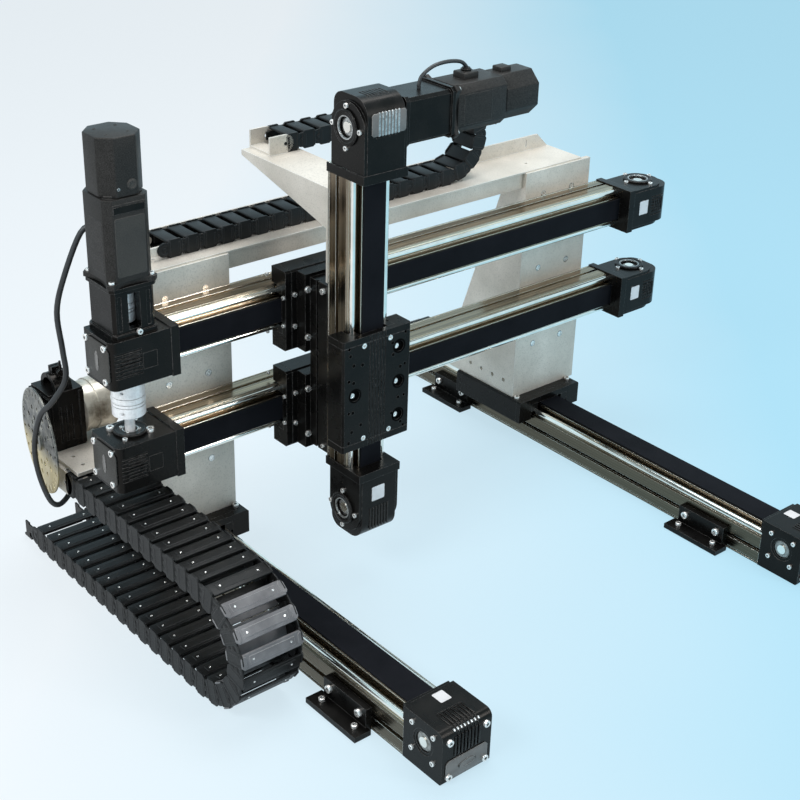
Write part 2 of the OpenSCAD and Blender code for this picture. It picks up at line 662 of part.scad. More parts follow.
module y_profile_upper() color("tan") on_beam(upper_y_z) axis_profile(y_scale, y_prof_a, y_prof_b);
module y_profile_lower() color("tan") on_beam(lower_y_z) axis_profile(y_scale, y_prof_a, y_prof_b);
module y_guide_shafts() color("silver") each_beam() guide_shafts(y_scale, y_prof_a, y_prof_b);
module y_belts() color([0.12, 0.12, 0.13]) each_beam() belt_loop(y_scale, y_drive_y, y_idler_y);
module y_drive_housing(z) on_beam(z) y_end_a() {
  housing_a(y_scale, y_hous_len, y_hous_w, beam_hous_h, hous_back, y_hous_len - y_axis_in);
  collar(y_scale, y_hous_w, beam_hous_h);
}
module y_drive_housing_upper() color([0.15, 0.15, 0.16]) y_drive_housing(upper_y_z);
module y_drive_housing_lower() color([0.15, 0.15, 0.16]) y_drive_housing(lower_y_z);
module y_idler_housings() color([0.15, 0.15, 0.16]) each_beam() y_end_b() {
  housing_b(y_scale, y_hous_len, y_hous_w, beam_hous_h, hous_back, y_hous_len - y_axis_in);
  collar(y_scale, y_hous_w, beam_hous_h);
}
module y_bearings() color("silver") each_beam() for (x = [y_drive_y, y_idler_y])
  bearing_pair(y_scale, x, y_hous_w);

y_motor_z = y_hous_top + adapter_len;
module y_motor_adapter() color([0.12, 0.12, 0.13]) translate([y_belt_x, y_drive_y, y_hous_top])
  adapter(adapter_len, 45);
module y_motor() color([0.1, 0.1, 0.1]) translate([y_belt_x, y_drive_y, y_motor_z]) servo(motor_len);

// Rear extrusion between the brackets, tray on top of them
ext_w = 30;
tray_t = 3;
tray_d = 92;
tray_top = brk_top + tray_t;
module ext_groove() {
  translate([-5.5, -1.6]) square([11, 3.2]);
  translate([-3, -5]) square([6, 7]);
}
module rear_extrusion() color("silver") translate([bridge_x - brk_t - ext_w / 2, 0, brk_top - ext_w / 2])
  rotate([90, 0, 0]) linear_extrude(2 * (rail_y + post_off - brk_w / 2), center = true) difference() {
    square(ext_w, center = true);
    for (y = [-7.5, 7.5], s = [-1, 1]) translate([s * (ext_w / 2 - 4), y]) rotate(s * -90) ext_groove();
    circle(r = 3);
  }
tray_left = 10 - rail_y - post_off - brk_w / 2;
tray_right = rail_y + post_off + 62;
module chain_tray() color("silver") {
  translate([bridge_x - tray_d - 4, tray_left, brk_top]) difference() {
    cube([tray_d, tray_right - tray_left, tray_t]);
    for (i = [0 : 5]) translate([tray_d * 0.62, 40 + i * 160, -1]) cylinder(r = 3, h = 5);
  }
  translate([bridge_x - tray_d - 4, tray_left, brk_top]) rotate([90, 0, 90]) difference() {
    linear_extrude(tray_t) polygon([[0, 1], [tray_right - tray_left, 1], [tray_right - tray_left - 30,
      30], [0, 30]]);
    for (i = [0 : 5]) translate([tray_right - tray_left - 60 - i * 150, 10, -1]) cube([3, 14, 5]);
  }
  translate([y_chain_x, y_turn - y_low * yc_pitch, y_chain_z]) rotate([0, 0, 90])
    chain_foot(yc_pitch, yc_h, yc_w);
}

y_chain_x = bridge_x - 59;
y_chain_z = tray_top + yc_h / 2;
y_turn = 172;
y_low = 18;
y_bend = 6;
y_up = 11;
y_up_z = y_chain_z + 2 * bend_r(yc_pitch, y_bend);
module y_cable_chain() color([0.1, 0.1, 0.1]) translate([y_chain_x, y_turn, y_chain_z])
  rotate([0, 0, 90]) chain(yc_pitch, yc_h, yc_w, y_low, y_bend, y_up);

// Shelf over the X chain's moving end, bolted to the back of the left bracket
shelf_t = 6;
shelf_hole_x = 90;
shelf_y = chain_y - xc_w / 2 + 8;
box_a = bridge_x - 193;
shelf_a = box_a - 2;
shelf_b = shelf_a + 144;
post_y = -rail_y - post_off - brk_w / 2;
module chain_shelf() color("silver") {
  translate([shelf_a, shelf_y, x_chain_top]) difference() {
    cube([shelf_b - shelf_a, post_y + 40 - shelf_y, shelf_t]);
    for (x = [shelf_hole_x, shelf_hole_x + 32], y = [22, 66]) translate([x, y, -1])
      cylinder(r = small_r, h = shelf_t + 2);
  }
  translate([shelf_b - 1, post_y, x_chain_top]) cube([bridge_x - brk_t - shelf_b + 1, 40, shelf_t]);
  translate([bridge_x - brk_t - shelf_t, post_y, x_chain_top - 40]) cube([shelf_t, 40, 41]);
  translate([x_turn - x_up * xc_pitch, chain_y, x_chain_top - xc_h / 2]) chain_head(xc_h, xc_w);
}
box_w = 60;
box_y = shelf_y + 2;
box_z = x_chain_top + shelf_t;
box_h2 = 104;
gear_z = box_z + 53;
module side_unit_box() color([0.1, 0.1, 0.1]) {
  translate([box_a, box_y, box_z]) difference() {
    union() {
      cube([box_w, box_w, box_h2]);
      translate([-4, -3, 6]) cube([box_w + 8, 6, box_h2 - 12]);
      translate([-3, box_w - 8, 4]) cube([box_w + 6, 8, box_h2 - 8]);
    }
    for (y = [16, 26, 36]) translate([box_w - 1.5, y, 14]) cube([4, 4, box_h2 - 40]);
  }
  on_disc() translate([0, 0, -4]) cylinder(r = 12, h = boss_h + 4);
}
module side_unit_motor() color("silver") translate([box_a + box_w / 2, box_y + box_w, gear_z])
  rotate([-90, 0, 0]) {
  cylinder(r = 44, h = 8);
  translate([0, 0, 7.9]) cylinder(r = 42, h = 16);
  translate([0, 0, 23.8]) cylinder(r = 44, h = 34);
  translate([0, 0, 57.7]) cylinder(r = 40, h = 5);
}
// Slotted disc on a stub axle, turned a little off the machine's axes
disc_r = 88;
disc_tilt = 10;
disc_off = 16;
boss_h = 3;
module on_disc() translate([box_a + box_w - 6, box_y - 3, box_z + 26]) rotate([90, 0, -disc_tilt])
  children();
module slotted_disc() color([0.15, 0.15, 0.15]) on_disc() difference() {
  union() {
    translate([0, 0, disc_off - 3]) cylinder(r = disc_r, h = 3);
    translate([0, 0, disc_off - 0.1]) cylinder(r = 16, h = 4);
    translate([0, 0, boss_h]) cylinder(r = 9, h = disc_off - boss_h);
  }
  for (a = [0 : 30 : 330]) rotate(a) for (r = [38, 56]) translate([r, 0, disc_off - 4])
    cylinder(r = 4.5, h = 6);
  for (a = [6 : 12 : 354]) rotate(a) translate([disc_r - 14, -2.2, disc_off - 4]) cube([10, 4.4, 6]);
  translate([0, 0, disc_off]) cylinder(r = 6, h = 6);
}
module screw_clamp() color([0.12, 0.12, 0.13]) translate([box_a + box_w / 2, box_y + box_w / 2,
  box_z + box_h2]) {
  difference() {
    union() {
      rotate([90, 0, 0]) cylinder(r = 25, h = 30, center = true);
      translate([-6, -9, 20]) cube([12, 18, 16]);
    }
    rotate([90, 0, 0]) cylinder(r = 17, h = 40, center = true);
    translate([-30, -30, -60]) cube([60, 60, 60]);
    translate([-1.5, -30, 10]) cube([3, 60, 40]);
  }
  translate([0, 0, 28]) rotate([0, 90, 0]) cylinder(r = 3, h = 30, center = true);
  translate([14, 0, 28]) rotate([0, 90, 0]) cylinder(r = 6, h = 5);
  translate([16, -1.5, 26]) cube([3, 3, 24]);
}

// Motor cable: from the motor's socket past the side unit into the X chain
m_plug = [y_belt_x - motor_w / 2 + 3 - socket_h, y_drive_y, y_motor_z + motor_len * 0.216 + 15];
m_route = [m_plug, m_plug + [-6, 0, 0], m_plug + [-12, 0, 0], m_plug + [-25, -20, -12],
  [-176, -592, 560], [-192, -600, 500], [-184, -600, 440], [-186, -598, 390], [-206, -614, 346],
  [-236, -622, 312], [-262, -624, 250], [-258, -624, 200], [-240, -618, 156], [-236, -604, 142],
  [-242, -582, 150], [-246, -566, 172], [-232, -558, 190], [-206, -556, 190]];
module y_motor_cable() color([0.05, 0.05, 0.05]) sweep_route(m_route, 4.5, 10, 5);

// ================= saddle =================
module y_carriage(z) on_beam(z) translate([z_axis_y, 0, 0]) difference() {
  carriage(y_scale, y_carr_len, saddle_w, carr_h * y_scale);
  saddle_corners() bolt_hole(small_r, 9);
}
module saddle_corners() for (x = [-1, 1], y = [-1, 1])
  translate([x * (y_carr_len / 2 - 17), y * saddle_w * 0.2, carr_h * y_scale]) children();
module y_carriage_upper() color([0.12, 0.12, 0.13]) y_carriage(upper_y_z);
module y_carriage_lower() color([0.12, 0.12, 0.13]) y_carriage(lower_y_z);

// One adapter plate on each Y carriage and a long plate over both
plate_a = y_carr_len - 44;
plate_b = z_hous_w;
plate_at = stack_t / 3;
module z_plate_corners() for (z = [upper_y_z, lower_y_z], s = [-1, 1], y = [-1, 1])
  translate([saddle_x + plate_at, z_axis_y + y * (plate_a / 2 - 4.6), z + s * saddle_w * 0.3])
    rotate([0, 90, 0]) children();
module z_mount_plate() color([0.12, 0.12, 0.13]) {
  for (z = [upper_y_z, lower_y_z]) translate([saddle_x, z_axis_y - plate_a / 2, z - saddle_w / 2 + 2])
    cube([plate_at, plate_a, saddle_w - 4]);
  translate([saddle_x + plate_at - 0.1, z_axis_y - plate_b / 2, lower_y_z - saddle_w / 2 + 8])
    difference() {
    cube([stack_t - plate_at + 0.1, plate_b, upper_y_z - lower_y_z + saddle_w - 16]);
    for (y = [-1, plate_b - 5]) translate([stack_t * 0.25, y, -1]) cube([4, 6, 2 * brk_top]);
  }
}
module saddle_screws() color("silver") {
  for (z = [upper_y_z, lower_y_z]) on_beam(z) translate([z_axis_y, 0, 0]) saddle_corners()
    bolt(small_r, 8);
  for (z = [upper_y_z, lower_y_z], s = [-1, 1], y = [-1, 1])
    translate([saddle_x + plate_at, z_axis_y + y * (plate_a / 2 - 4.6), z + s * saddle_w * 0.3])
      rotate([0, 90, 0])
      cylinder(r = 4.2, h = 4);
  z_end(0) side_bolts(z_scale, z_hous_len - y_axis_in, z_hous_w, 0) bolt(small_r, bolt_l - 1);
  z_end(1) side_bolts(z_scale, z_hous_len - y_axis_in, z_hous_w, 0) bolt(small_r, bolt_l - 1);
  on_z_drive(z_adapter_len) flange_bolts() bolt(flange_bolt_r, flange_t + 5);
}
module z_profile() color("tan") on_column() axis_profile(z_scale, z_prof_a, z_prof_b);
module z_guide_shafts() color("silver") on_column() guide_shafts(z_scale, z_prof_a, z_prof_b);
module z_belt() color([0.12, 0.12, 0.13]) on_column() belt_loop(z_scale, z_idler_z, z_drive_z);
module z_end(m) on_column() translate([m == 0 ? z_prof_b : z_prof_a, 0, 0]) mirror([m, 0, 0]) children();
module z_housing() {
  housing_b(z_scale, z_hous_len, z_hous_w, beam_hous_h, hous_back, z_hous_len - y_axis_in);
  collar(z_scale, z_hous_w, beam_hous_h);
}
module z_drive_housing() color([0.15, 0.15, 0.16]) z_end(0) z_housing();
module z_idler_housing() color([0.15, 0.15, 0.16]) z_end(1) z_housing();
module z_bearings() color("silver") on_column() for (x = [z_drive_z, z_idler_z])
  bearing_pair(z_scale, x, z_hous_w);
z_motor_y = z_axis_y + z_hous_w / 2;
module on_z_drive(d) translate([z_belt_x, z_motor_y + d, z_drive_z]) rotate([-90, 0, 0]) rotate(90)
  children();
module z_motor_adapter() color([0.12, 0.12, 0.13]) on_z_drive(0) adapter(z_adapter_len, 0);
module z_motor() color([0.1, 0.1, 0.1]) on_z_drive(z_adapter_len) servo(z_motor_len);

// Angle bracket that carries the Y chain's moving end behind the Z axis
zb_t = 5;
zb_z = y_up_z - yc_h / 2;
zb_w = 78;
module z_chain_bracket() color("silver") {
  translate([y_chain_x - yc_w / 2, z_axis_y - zb_w / 2, zb_z - zb_t])
    cube([z_back_x - y_chain_x + yc_w / 2, zb_w, zb_t]);
  translate([z_back_x - zb_t, z_axis_y - zb_w / 2, upper_y_z + saddle_w / 2 - 4])
    cube([zb_t, zb_w, zb_z - zb_t - upper_y_z - saddle_w / 2 + 5]);
  translate([z_back_x - zb_t + 0.1, z_axis_y - zb_w / 2 + zb_t, 0]) rotate([90, 0, 0])
    linear_extrude(zb_t)
    polygon([[0, zb_z - 1], [y_chain_x - z_back_x - yc_w / 2 + zb_t, zb_z - 1],
      [y_chain_x - z_back_x - yc_w / 2 + zb_t, zb_z - 9],
      [-20, zb_z - 60], [0, zb_z - 66]]);
  translate([y_chain_x, y_turn - y_up * yc_pitch, y_up_z]) rotate([0, 0, 90]) mirror([0, 0, 1])
    chain_head(yc_h, yc_w);
}
z_plug = [z_belt_x, z_motor_y + z_adapter_len + z_motor_len * 0.216 + 15,
  z_drive_z + motor_w / 2 - 3 + socket_h];
z_inlet = [z_belt_x, z_motor_y + z_adapter_len * 0.58, z_drive_z + adapter_w / 2];
z_route = [z_plug, z_plug + [0, 0, 3], z_plug + [0, 0, 6], z_plug + [0, -12, 15], z_plug + [0, -38, 19],
  z_inlet + [0, 28, 29], z_inlet + [0, 6, 18], z_inlet + [0, 0, 6], z_inlet + [0, 0, 3], z_inlet];
module z_cable() color([0.05, 0.05, 0.05]) sweep_route(z_route, 3, 8, 5);

// Z carriage with the tool plate's holes and ribs; its screws sit below the face
tool_y = tool_w / 2 - 12;
tool_z = tool_h / 2 - 14;
tool_in = 28;
tool_bolt_r = 4.5;
tool_sink = tool_bolt_r * 1.1 + gap;
module tool_corners() for (x = [-1, 1], y = [-1, 1])
  translate([x * (tool_h / 2 - 16), y * 26, -tool_sink]) children();
module tool_tapped() for (x = [-tool_z, -tool_in, tool_in, tool_z], y = [-tool_y, tool_y])
  translate([x, y, 0]) children();
module tool_carriage() color([0.1, 0.1, 0.1]) on_column() translate([z_carriage_z, 0, 0]) difference() {
  carriage(z_scale, tool_h, tool_w, carr_h * z_scale);
  translate([0, 0, carr_h * z_scale]) {
    for (y = [-15 : 6 : 15]) translate([-tool_h, y - 1, -1.2]) cube([2 * tool_h, 2, 4]);
    tool_corners() bolt_hole(tool_bolt_r, 6);
    tool_corners() cylinder(r = tool_bolt_r + gap, h = tool_sink + cut);
    tool_tapped() translate([0, 0, -10]) cylinder(r = tool_hole_r, h = 12);
    for (p = [[62, -44], [0, -44], [-60, -44], [0, 44]]) translate([p[0], p[1], 0]) {
      translate([0, 0, -4]) cylinder(r = 9, h = 6);
      translate([0, 0, -9]) cylinder(r = 5.5, h = 10);
    }
  }
}
module tool_screws() color("silver") on_column() translate([z_carriage_z, 0, carr_h * z_scale])
  tool_corners() bolt(tool_bolt_r, 5);

// ================= turning pieces =================
x_reach = hous_w / 2;
module x_drive_shaft() color("silver") {
  for (s = [-1, 1]) on_rail(s) pulley(1, x_drive_x, x_reach, x_reach);
  across(x_drive_x, pulley_z) cylinder(r = shaft_r, h = rail_pitch - hous_w + 2, center = true);
  for (s = [-1, 1]) translate([x_drive_x, s * (rail_y - hous_w / 2 - 42), pulley_z])
    rotate([s * 90, 0, 0]) translate([0, 0, -26]) coupling(20, 52);
}
module x_idler_left() color("silver") on_rail(-1) pulley(1, x_idler_x, x_reach, x_reach);
module x_idler_right() color("silver") on_rail(1) pulley(1, x_idler_x, x_reach, x_reach);
y_reach = y_hous_w / 2;
module y_drive_shaft() color("silver") {
  each_beam() pulley(y_scale, y_drive_y, y_reach, y_reach);
  translate([y_belt_x, y_drive_y, 0]) {
    translate([0, 0, y_hous_low - 1]) cylinder(r = shaft_r,
      h = upper_y_z - y_hous_w / 2 - y_hous_low + 2);
    translate([0, 0, upper_y_z - y_hous_w / 2 - 64]) coupling(26, 54);
    translate([0, 0, y_hous_top - 1]) cylinder(r = shaft_r, h = adapter_len + 0.5);
    translate([0, 0, y_hous_top + 14]) coupling(19, 50);
  }
}
module y_idler_upper() color("silver") on_beam(upper_y_z) pulley(y_scale, y_idler_y, y_reach, y_reach);
module y_idler_lower() color("silver") on_beam(lower_y_z) pulley(y_scale, y_idler_y, y_reach, y_reach);
z_reach = z_hous_w / 2;
module z_drive_pulley() color("silver") {
  on_column() pulley(z_scale, z_drive_z, z_reach, z_reach);
  on_z_drive(-1) cylinder(r = shaft_r, h = z_adapter_len + 0.5);
  on_z_drive(20) coupling(19, 54);
}
module z_idler_pulley() color("silver") on_column() pulley(z_scale, z_idler_z, z_reach, z_reach);

x_profile_left();
x_profile_right();
x_guide_shafts();
x_belts();
x_drive_housing_left();
x_drive_housing_right();
x_idler_housings();
x_bearings();
foot_clamps();
base_screws();
chain_anchor();
x_cable_chain();
x_carriage_left();
x_carriage_right();
bracket_left();
bracket_right();
bridge_screws();
y_profile_upper();
y_profile_lower();
y_guide_shafts();
y_belts();
y_drive_housing_upper();
y_drive_housing_lower();
y_idler_housings();
y_bearings();
y_motor_adapter();
y_motor();
y_motor_cable();
rear_extrusion();
chain_tray();
y_cable_chain();
chain_shelf();
side_unit_box();
side_unit_motor();
slotted_disc();
screw_clamp();
y_carriage_upper();
y_carriage_lower();
z_mount_plate();
saddle_screws();
z_profile();
z_guide_shafts();
z_belt();
z_drive_housing();
z_idler_housing();
z_bearings();
z_motor_adapter();
z_motor();
z_chain_bracket();
z_cable();
tool_carriage();
tool_screws();
x_drive_shaft();
x_idler_left();
x_idler_right();
y_drive_shaft();
y_idler_upper();
y_idler_lower();
z_drive_pulley();
z_idler_pulley();
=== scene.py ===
import json
import math

import bmesh
import bpy
from mathutils import Matrix, Vector


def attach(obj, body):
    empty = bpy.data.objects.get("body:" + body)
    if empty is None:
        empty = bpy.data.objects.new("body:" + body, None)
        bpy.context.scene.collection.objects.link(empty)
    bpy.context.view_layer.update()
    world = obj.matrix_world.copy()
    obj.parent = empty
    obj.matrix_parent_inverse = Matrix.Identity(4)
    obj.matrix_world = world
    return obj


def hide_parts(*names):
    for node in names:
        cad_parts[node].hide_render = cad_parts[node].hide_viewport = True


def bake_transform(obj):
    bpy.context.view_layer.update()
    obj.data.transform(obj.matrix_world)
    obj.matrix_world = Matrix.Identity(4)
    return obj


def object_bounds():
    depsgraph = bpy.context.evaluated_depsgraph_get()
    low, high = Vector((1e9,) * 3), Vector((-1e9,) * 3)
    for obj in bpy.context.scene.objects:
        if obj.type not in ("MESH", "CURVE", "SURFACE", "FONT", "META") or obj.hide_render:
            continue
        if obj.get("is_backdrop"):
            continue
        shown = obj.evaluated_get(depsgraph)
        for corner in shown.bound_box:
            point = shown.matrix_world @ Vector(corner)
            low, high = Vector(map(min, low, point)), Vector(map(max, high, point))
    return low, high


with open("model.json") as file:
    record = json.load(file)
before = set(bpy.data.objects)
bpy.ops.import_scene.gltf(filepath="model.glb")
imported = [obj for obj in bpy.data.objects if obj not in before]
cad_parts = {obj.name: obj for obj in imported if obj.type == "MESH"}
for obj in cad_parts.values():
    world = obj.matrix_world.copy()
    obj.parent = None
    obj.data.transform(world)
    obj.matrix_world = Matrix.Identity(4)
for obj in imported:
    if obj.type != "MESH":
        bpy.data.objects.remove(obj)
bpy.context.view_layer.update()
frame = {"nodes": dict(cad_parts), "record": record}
scene = bpy.context.scene
print("frame loaded:", len(frame["nodes"]), "nodes")

cameraLook = {
    "place": (1.7263, -1.5558, 1.4486),
    "azimuth": 49.48,
    "elevation": 27.47,
    "roll": 1.6,
    "lens": 68.26,
}


def makeCamera(look):
    a, e, r = (math.radians(look[k]) for k in ("azimuth", "elevation", "roll"))
    back = Vector((math.sin(a) * math.cos(e), -math.cos(a) * math.cos(e), math.sin(e)))
    right = (-back).cross(Vector((0, 0, 1))).normalized()
    up = right.cross(-back)
    rightRolled = right * math.cos(r) + up * math.sin(r)
    upRolled = up * math.cos(r) - right * math.sin(r)
    data = bpy.data.cameras.new("viewCamera")
    data.lens = look["lens"]
    data.sensor_width = 36
    data.clip_start = 0.05
    data.clip_end = 40
    camera = bpy.data.objects.new("viewCamera", data)
    scene.collection.objects.link(camera)
    turn = Matrix((rightRolled, upRolled, back)).transposed().to_4x4()
    camera.matrix_world = Matrix.Translation(look["place"]) @ turn
    scene.camera = camera


makeCamera(cameraLook)
print("camera set")


# small helpers for modelling, all lengths in metres
def deselectAll():
    if bpy.context.mode != "OBJECT":
        bpy.ops.object.mode_set(mode="OBJECT")
    bpy.ops.object.select_all(action="DESELECT")


def pickFaces(obj, test):
    # leaves obj in edit mode with the faces picked whose centre and normal pass
    bpy.ops.object.mode_set(mode="EDIT")
    bpy.ops.mesh.select_mode(type="FACE")
    bpy.ops.mesh.select_all(action="DESELECT")
    bpy.ops.object.mode_set(mode="OBJECT")
    for face in obj.data.polygons:
        face.select = test(face.center, face.normal)
    bpy.ops.object.mode_set(mode="EDIT")


def pickEdges(obj, test):
    # the same for edges, by both ends
    bpy.ops.object.mode_set(mode="EDIT")
    bpy.ops.mesh.select_mode(type="EDGE")
    bpy.ops.mesh.select_all(action="DESELECT")
    bpy.ops.object.mode_set(mode="OBJECT")
    points = obj.data.vertices
    for edge in obj.data.edges:
        edge.select = test(points[edge.vertices[0]].co, points[edge.vertices[1]].co)
    bpy.ops.object.mode_set(mode="EDIT")


def roundEdges(obj, width, segments=2, angle=30):
    mod = obj.modifiers.new("edges", "BEVEL")
    mod.width = width
    mod.segments = segments
    mod.limit_method = "ANGLE"
    mod.angle_limit = math.radians(angle)
    bpy.context.view_layer.objects.active = obj
    bpy.ops.object.modifier_apply(modifier="edges")


def addBlock(size, center, bevel=0.0, segments=2, corner=0.0, axis=2, cornerSegments=1):
    # a block whose four edges along the axis may be cut first, and all edges then rounded
    deselectAll()
    bpy.ops.mesh.primitive_cube_add(size=1, location=center)
    obj = bpy.context.object
    obj.scale = size
    bpy.ops.object.transform_apply(location=True, rotation=True, scale=True)
    if corner:
        others = [k for k in range(3) if k != axis]
        pickEdges(obj, lambda a, b: all(abs(a[k] - b[k]) < 1e-7 for k in others))
        bpy.ops.mesh.bevel(offset=corner, segments=cornerSegments)
        bpy.ops.object.mode_set(mode="OBJECT")
    if bevel:
        roundEdges(obj, bevel, segments)
    return obj


def addTurned(radius, depth, steps, vertices=40, bevel=0.0):
    # a turned part on z = 0: each step insets the top face and then lifts it
    deselectAll()
    bpy.ops.mesh.primitive_cylinder_add(vertices=vertices, radius=radius, depth=depth, location=(0, 0, depth / 2))
    obj = bpy.context.object
    bpy.ops.object.transform_apply(location=True, rotation=True, scale=True)
    pickFaces(obj, lambda c, n: n.z > 0.9)
    for inset, lift in steps:
        if inset:
            bpy.ops.mesh.inset(thickness=inset)
        if lift:
            bpy.ops.mesh.extrude_region_move(TRANSFORM_OT_translate={"value": (0, 0, lift)})
    bpy.ops.object.mode_set(mode="OBJECT")
    if bevel:
        roundEdges(obj, bevel, 2, 40)
    return obj


def faceFrame(origin, outward, up):
    # local x runs to the right on the face, y up it and z out of it
    z, y = Vector(outward).normalized(), Vector(up).normalized()
    made = Matrix((y.cross(z), y, z)).transposed().to_4x4()
    made.translation = Vector(origin)
    return made


def copyPiece(obj, matrix, name="copy"):
    new = obj.copy()
    new.data = obj.data.copy()
    scene.collection.objects.link(new)
    new.data.transform(matrix)
    if matrix.determinant() < 0:
        new.data.flip_normals()
    new.name = name
    return new


def moved(obj, matrix):
    obj.data.transform(matrix)
    return obj


def paint(obj, *materials, choose=None):
    obj.data.materials.clear()
    for material in materials:
        obj.data.materials.append(material)
    if choose:
        for face in obj.data.polygons:
            face.material_index = choose(face.center, face.normal)
    return obj


def joinPieces(parts, name):
    deselectAll()
    for part in parts:
        part.select_set(True)
    bpy.context.view_layer.objects.active = parts[0]
    bpy.ops.object.join()
    whole = parts[0]
    bpy.ops.object.transform_apply(location=True, rotation=True, scale=True)
    bpy.ops.object.shade_smooth_by_angle(angle=math.radians(32))
    whole.name = name
    whole.data.name = name
    return whole


def finishPiece(parts, name, body, slot, *nodes):
    whole = joinPieces(parts, name)
    if nodes:
        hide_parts(*nodes)
    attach(whole, body)
    print("made", name)
    return whole


def drop(*objects):
    # takes a pattern piece away once its copies are made
    for obj in objects:
        bpy.data.objects.remove(obj, do_unlink=True)


class Graph:
    # a material's node tree, built from short calls
    def __init__(self, name):
        self.material = bpy.data.materials.new(name)
        self.material.use_nodes = True
        self.tree = self.material.node_tree
        self.shader = self.tree.nodes["Principled BSDF"]
        self.object = self.tree.nodes.new("ShaderNodeTexCoord").outputs["Object"]

    def node(self, kind, **inputs):
        made = self.tree.nodes.new(kind)
        for key, value in inputs.items():
            socket = made.inputs[key]
            if isinstance(value, bpy.types.NodeSocket):
                self.tree.links.new(value, socket)
            else:
                socket.default_value = value
        return made

    def stretch(self, scale):
        made = self.node("ShaderNodeMapping", Vector=self.object)
        made.inputs["Scale"].default_value = scale
        return made.outputs["Vector"]

    def noise(self, vector, scale, detail=3.0, rough=0.55):
        made = self.node("ShaderNodeTexNoise", Vector=vector, Scale=scale, Detail=detail, Roughness=rough)
        return made.outputs["Fac"]

    def ramp(self, factor, stops):
        made = self.node("ShaderNodeValToRGB", Fac=factor)
        ends = made.color_ramp.elements
        while len(ends) < len(stops):
            ends.new(0.5)
        for end, (at, color) in zip(ends, stops):
            end.position = at
            end.color = (*color, 1) if len(color) == 3 else color
        return made.outputs["Color"]

    def spread(self, factor, low, high, fromLow=0.3, fromHigh=0.7):
        made = self.tree.nodes.new("ShaderNodeMapRange")
        self.tree.links.new(factor, made.inputs["Value"])
        for key, value in (("From Min", fromLow), ("From Max", fromHigh), ("To Min", low), ("To Max", high)):
            made.inputs[key].default_value = value
        return made.outputs["Result"]

    def sum(self, kind, first, second):
        made = self.tree.nodes.new("ShaderNodeMath")
        made.operation = kind
        for socket, value in ((made.inputs[0], first), (made.inputs[1], second)):
            if isinstance(value, bpy.types.NodeSocket):
                self.tree.links.new(value, socket)
            else:
                socket.default_value = value
        return made.outputs[0]

    def blend(self, factor, first, second):
        made = self.tree.nodes.new("ShaderNodeMix")
        made.data_type = "RGBA"
        for socket, value in ((made.inputs[0], factor), (made.inputs[6], first), (made.inputs[7], second)):
            if isinstance(value, bpy.types.NodeSocket):
                self.tree.links.new(value, socket)
            elif isinstance(value, tuple):
                socket.default_value = (*value, 1)
            else:
                socket.default_value = value
        return made.outputs[2]

    def facing(self, axis):
        # how far the surface faces along an axis, from 0 to 1
        true = self.tree.nodes.new("ShaderNodeNewGeometry").outputs["True Normal"]
        split = self.node("ShaderNodeSeparateXYZ", Vector=true)
        return self.sum("ABSOLUTE", split.outputs[axis], 0.0)

    def edge(self, radius):
        # a normal that rounds the edges, and where it differs from the true one
        bevel = self.node("ShaderNodeBevel", Radius=radius)
        bevel.samples = 6
        true = self.tree.nodes.new("ShaderNodeNewGeometry").outputs["Normal"]
        dot = self.tree.nodes.new("ShaderNodeVectorMath")
        dot.operation = "DOT_PRODUCT"
        self.tree.links.new(bevel.outputs["Normal"], dot.inputs[0])
        self.tree.links.new(true, dot.inputs[1])
        return bevel.outputs["Normal"], self.spread(dot.outputs["Value"], 1.0, 0.0, 0.86, 0.99)

    def bump(self, height, strength, distance, normal=None):
        made = self.node("ShaderNodeBump", Height=height, Strength=strength, Distance=distance)
        if normal is not None:
            self.tree.links.new(normal, made.inputs["Normal"])
        return made.outputs["Normal"]

    def finish(self, **inputs):
        for key, value in inputs.items():
            socket = self.shader.inputs[key]
            if isinstance(value, bpy.types.NodeSocket):
                self.tree.links.new(value, socket)
            elif isinstance(value, tuple):
                socket.default_value = (*value, 1)
            else:
                socket.default_value = value
        return self.material


blackMetalLook = {
    "color": (0.0026, 0.0025, 0.0024),
    "dusty": (0.0062, 0.0059, 0.0056),
    "wearAndHighlight": (0.20, 0.195, 0.19),      # where the edges have rubbed, and painted highlight along them
    "rough": (0.20, 0.36),
    "shine": 0.16, "tint": (1.0, 0.90, 0.82),
    "patches": 26.0, "scuffs": 160.0, "edge": 0.0009,
    "speck": 0.0,                     # share of pale specks
}


def blackMetal(name, look, grain=1400.0, bumpDepth=0.00006):
    g = Graph(name)
    fine = g.noise(g.object, grain, 2.0)
    patch = g.noise(g.object, look["patches"], 4.0)
    rounded, edge = g.edge(look["edge"])
    scuffs = g.noise(g.object, look["scuffs"], 3.0)
    base = g.blend(g.spread(patch, 0.0, 1.0), look["color"], look["dusty"])
    if look["speck"]:
        base = g.blend(g.spread(fine, 0.0, look["speck"], 0.42, 0.66), base, look["wearAndHighlight"])
    # edges broken up by scuffs: wear, and painted highlight standing in for light on the edges
    wearAndHighlight = g.sum("MULTIPLY", edge, g.spread(scuffs, 0.1, 0.8))
    return g.finish(**{
        "Base Color": g.blend(wearAndHighlight, base, look["wearAndHighlight"]),
        "Roughness": g.spread(patch, *look["rough"]),
        "Specular IOR Level": look["shine"],
        "Specular Tint": look["tint"],
        "Normal": g.bump(fine, 0.35, bumpDepth, rounded),
    })


motorLook = {**blackMetalLook, "color": (0.0080, 0.0078, 0.0075), "dusty": (0.015, 0.0147, 0.0142),
             "wearAndHighlight": (0.11, 0.107, 0.103), "rough": (0.36, 0.52), "speck": 0.30}
panelLook = {**motorLook, "color": (0.022, 0.022, 0.0205), "dusty": (0.036, 0.0355, 0.032), "speck": 0.6}
# a lighter glossy black whose colour stands in for the sheen on glossy parts: painted sheen
sheenPaintedLook = {**blackMetalLook, "color": (0.110, 0.108, 0.104), "dusty": (0.185, 0.182, 0.175),
             "wearAndHighlight": (0.60, 0.60, 0.58), "rough": (0.16, 0.28)}
